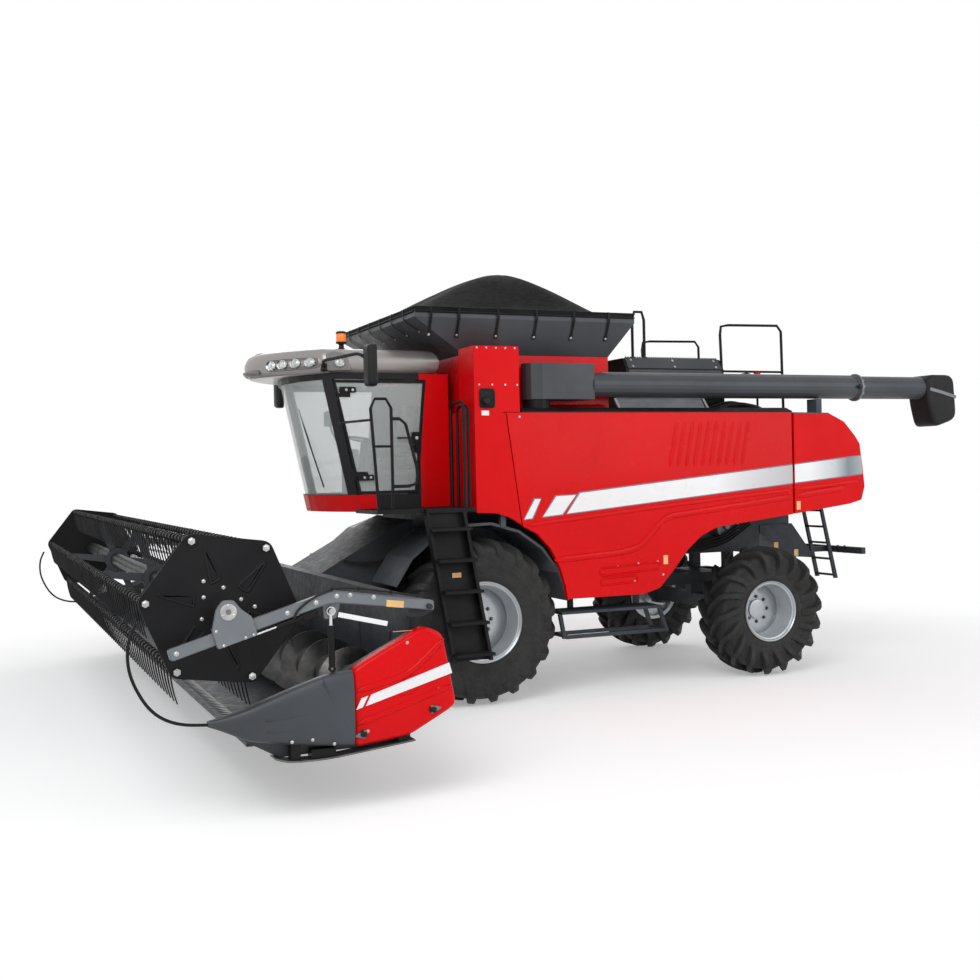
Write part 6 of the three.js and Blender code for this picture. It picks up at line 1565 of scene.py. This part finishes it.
# ---------------------------------------------------------------- stage, light and camera
def floor():
    """A pale floor that fades to the white of the background as it runs away from the machine."""
    t = np.linspace(0, 2 * np.pi, 96, endpoint=False)
    reach = np.array([0.0, 6.0, 10.0, 16.0, 30.0, 90.0])
    points = np.zeros((len(reach), len(t), 3))
    points[..., 0], points[..., 1] = reach[:, None] * np.cos(t), reach[:, None] * np.sin(t)
    co, faces = weld(grid(points, close_v=True))
    mesh = bpy.data.meshes.new("floor")
    mesh.from_pydata(co.tolist(), [], [row.tolist() for f in faces for row in f[:, ::-1]])
    material = bpy.data.materials.new("floor_white")
    material.use_nodes = True
    tree = material.node_tree
    new, link = tree.nodes.new, tree.links.new
    paper = tree.nodes["Principled BSDF"]
    paper.inputs["Base Color"].default_value = (0.9, 0.9, 0.9, 1)
    paper.inputs["Roughness"].default_value = 0.9
    paper.inputs["Specular IOR Level"].default_value = 0.0
    paper.inputs["Emission Color"].default_value = (1, 1, 1, 1)
    paper.inputs["Emission Strength"].default_value = 0.3
    far = new("ShaderNodeEmission")
    place = new("ShaderNodeTexCoord")
    length = new("ShaderNodeVectorMath")
    length.operation = "LENGTH"
    link(place.outputs["Object"], length.inputs[0])
    fade = new("ShaderNodeMapRange")
    fade.interpolation_type = "SMOOTHSTEP"
    fade.inputs["From Min"].default_value, fade.inputs["From Max"].default_value = 5.0, 10.0
    link(length.outputs["Value"], fade.inputs["Value"])
    both = new("ShaderNodeMixShader")
    link(fade.outputs["Result"], both.inputs[0])
    link(paper.outputs[0], both.inputs[1])
    link(far.outputs[0], both.inputs[2])
    link(both.outputs[0], tree.nodes["Material Output"].inputs["Surface"])
    mesh.materials.append(material)
    piece = bpy.data.objects.new("floor", mesh)
    bpy.context.scene.collection.objects.link(piece)
    piece.location.z = -0.001


def world():
    """Even daylight from all round, and plain white where the camera, gloss or glass sees past the
    machine."""
    made = bpy.data.worlds.new("studio")
    made.use_nodes = True
    bpy.context.scene.world = made
    tree = made.node_tree
    new, link = tree.nodes.new, tree.links.new
    light, white = tree.nodes["Background"], new("ShaderNodeBackground")
    light.inputs["Color"].default_value, light.inputs["Strength"].default_value = (0.95, 0.97, 1.0, 1), 0.38
    white.inputs["Color"].default_value, white.inputs["Strength"].default_value = (1, 1, 1, 1), 1.0
    rays = new("ShaderNodeLightPath")
    seen = None
    for kind in ("Is Camera Ray", "Is Glossy Ray", "Is Transmission Ray"):
        if seen is None:
            seen = rays.outputs[kind]
            continue
        either = new("ShaderNodeMath")
        either.operation = "MAXIMUM"
        link(seen, either.inputs[0])
        link(rays.outputs[kind], either.inputs[1])
        seen = either.outputs[0]
    both = new("ShaderNodeMixShader")
    link(seen, both.inputs[0])
    link(light.outputs[0], both.inputs[1])
    link(white.outputs[0], both.inputs[2])
    link(both.outputs[0], tree.nodes["World Output"].inputs["Surface"])


def lamp(name, place, target, size, power):
    """A soft square lamp that looks at a target."""
    data = bpy.data.lights.new(name, "AREA")
    data.shape, data.size, data.energy = "SQUARE", size, power
    made = bpy.data.objects.new(name, data)
    bpy.context.scene.collection.objects.link(made)
    made.location = place
    away = Vector(place) - Vector(target)
    made.rotation_euler = away.to_track_quat("Z", "Y").to_euler()


def camera():
    """The camera stands off the front left of the machine, a little above a person's head."""
    eye = np.array([5.0599 + AXLE_X, 13.5775, 2.4718])
    forward = np.array([-0.39598, -0.91815, -0.01426])
    high = np.array([-0.02597, -0.00433, 0.99965])
    side = unit(np.cross(forward, high))
    data = bpy.data.cameras.new("camera")
    data.lens, data.sensor_width, data.clip_end = 45.24, 36.0, 300.0
    made = bpy.data.objects.new("camera", data)
    bpy.context.scene.collection.objects.link(made)
    axes = np.stack([side, np.cross(side, forward), -forward], 1)
    made.matrix_world = Matrix([[*axes[k], eye[k]] for k in range(3)] + [[0, 0, 0, 1]])
    bpy.context.scene.camera = made


floor()
world()
lamp("key", (9.0, 12.0, 11.0), (0, 0, 1.5), 9.0, 1150)
lamp("fill", (-9.0, 13.0, 7.0), (-1, 0, 1.5), 10.0, 620)
lamp("back", (-3.0, -14.0, 10.0), (0, 0, 1.5), 10.0, 520)
camera()
bpy.context.scene.view_settings.view_transform = "Standard"
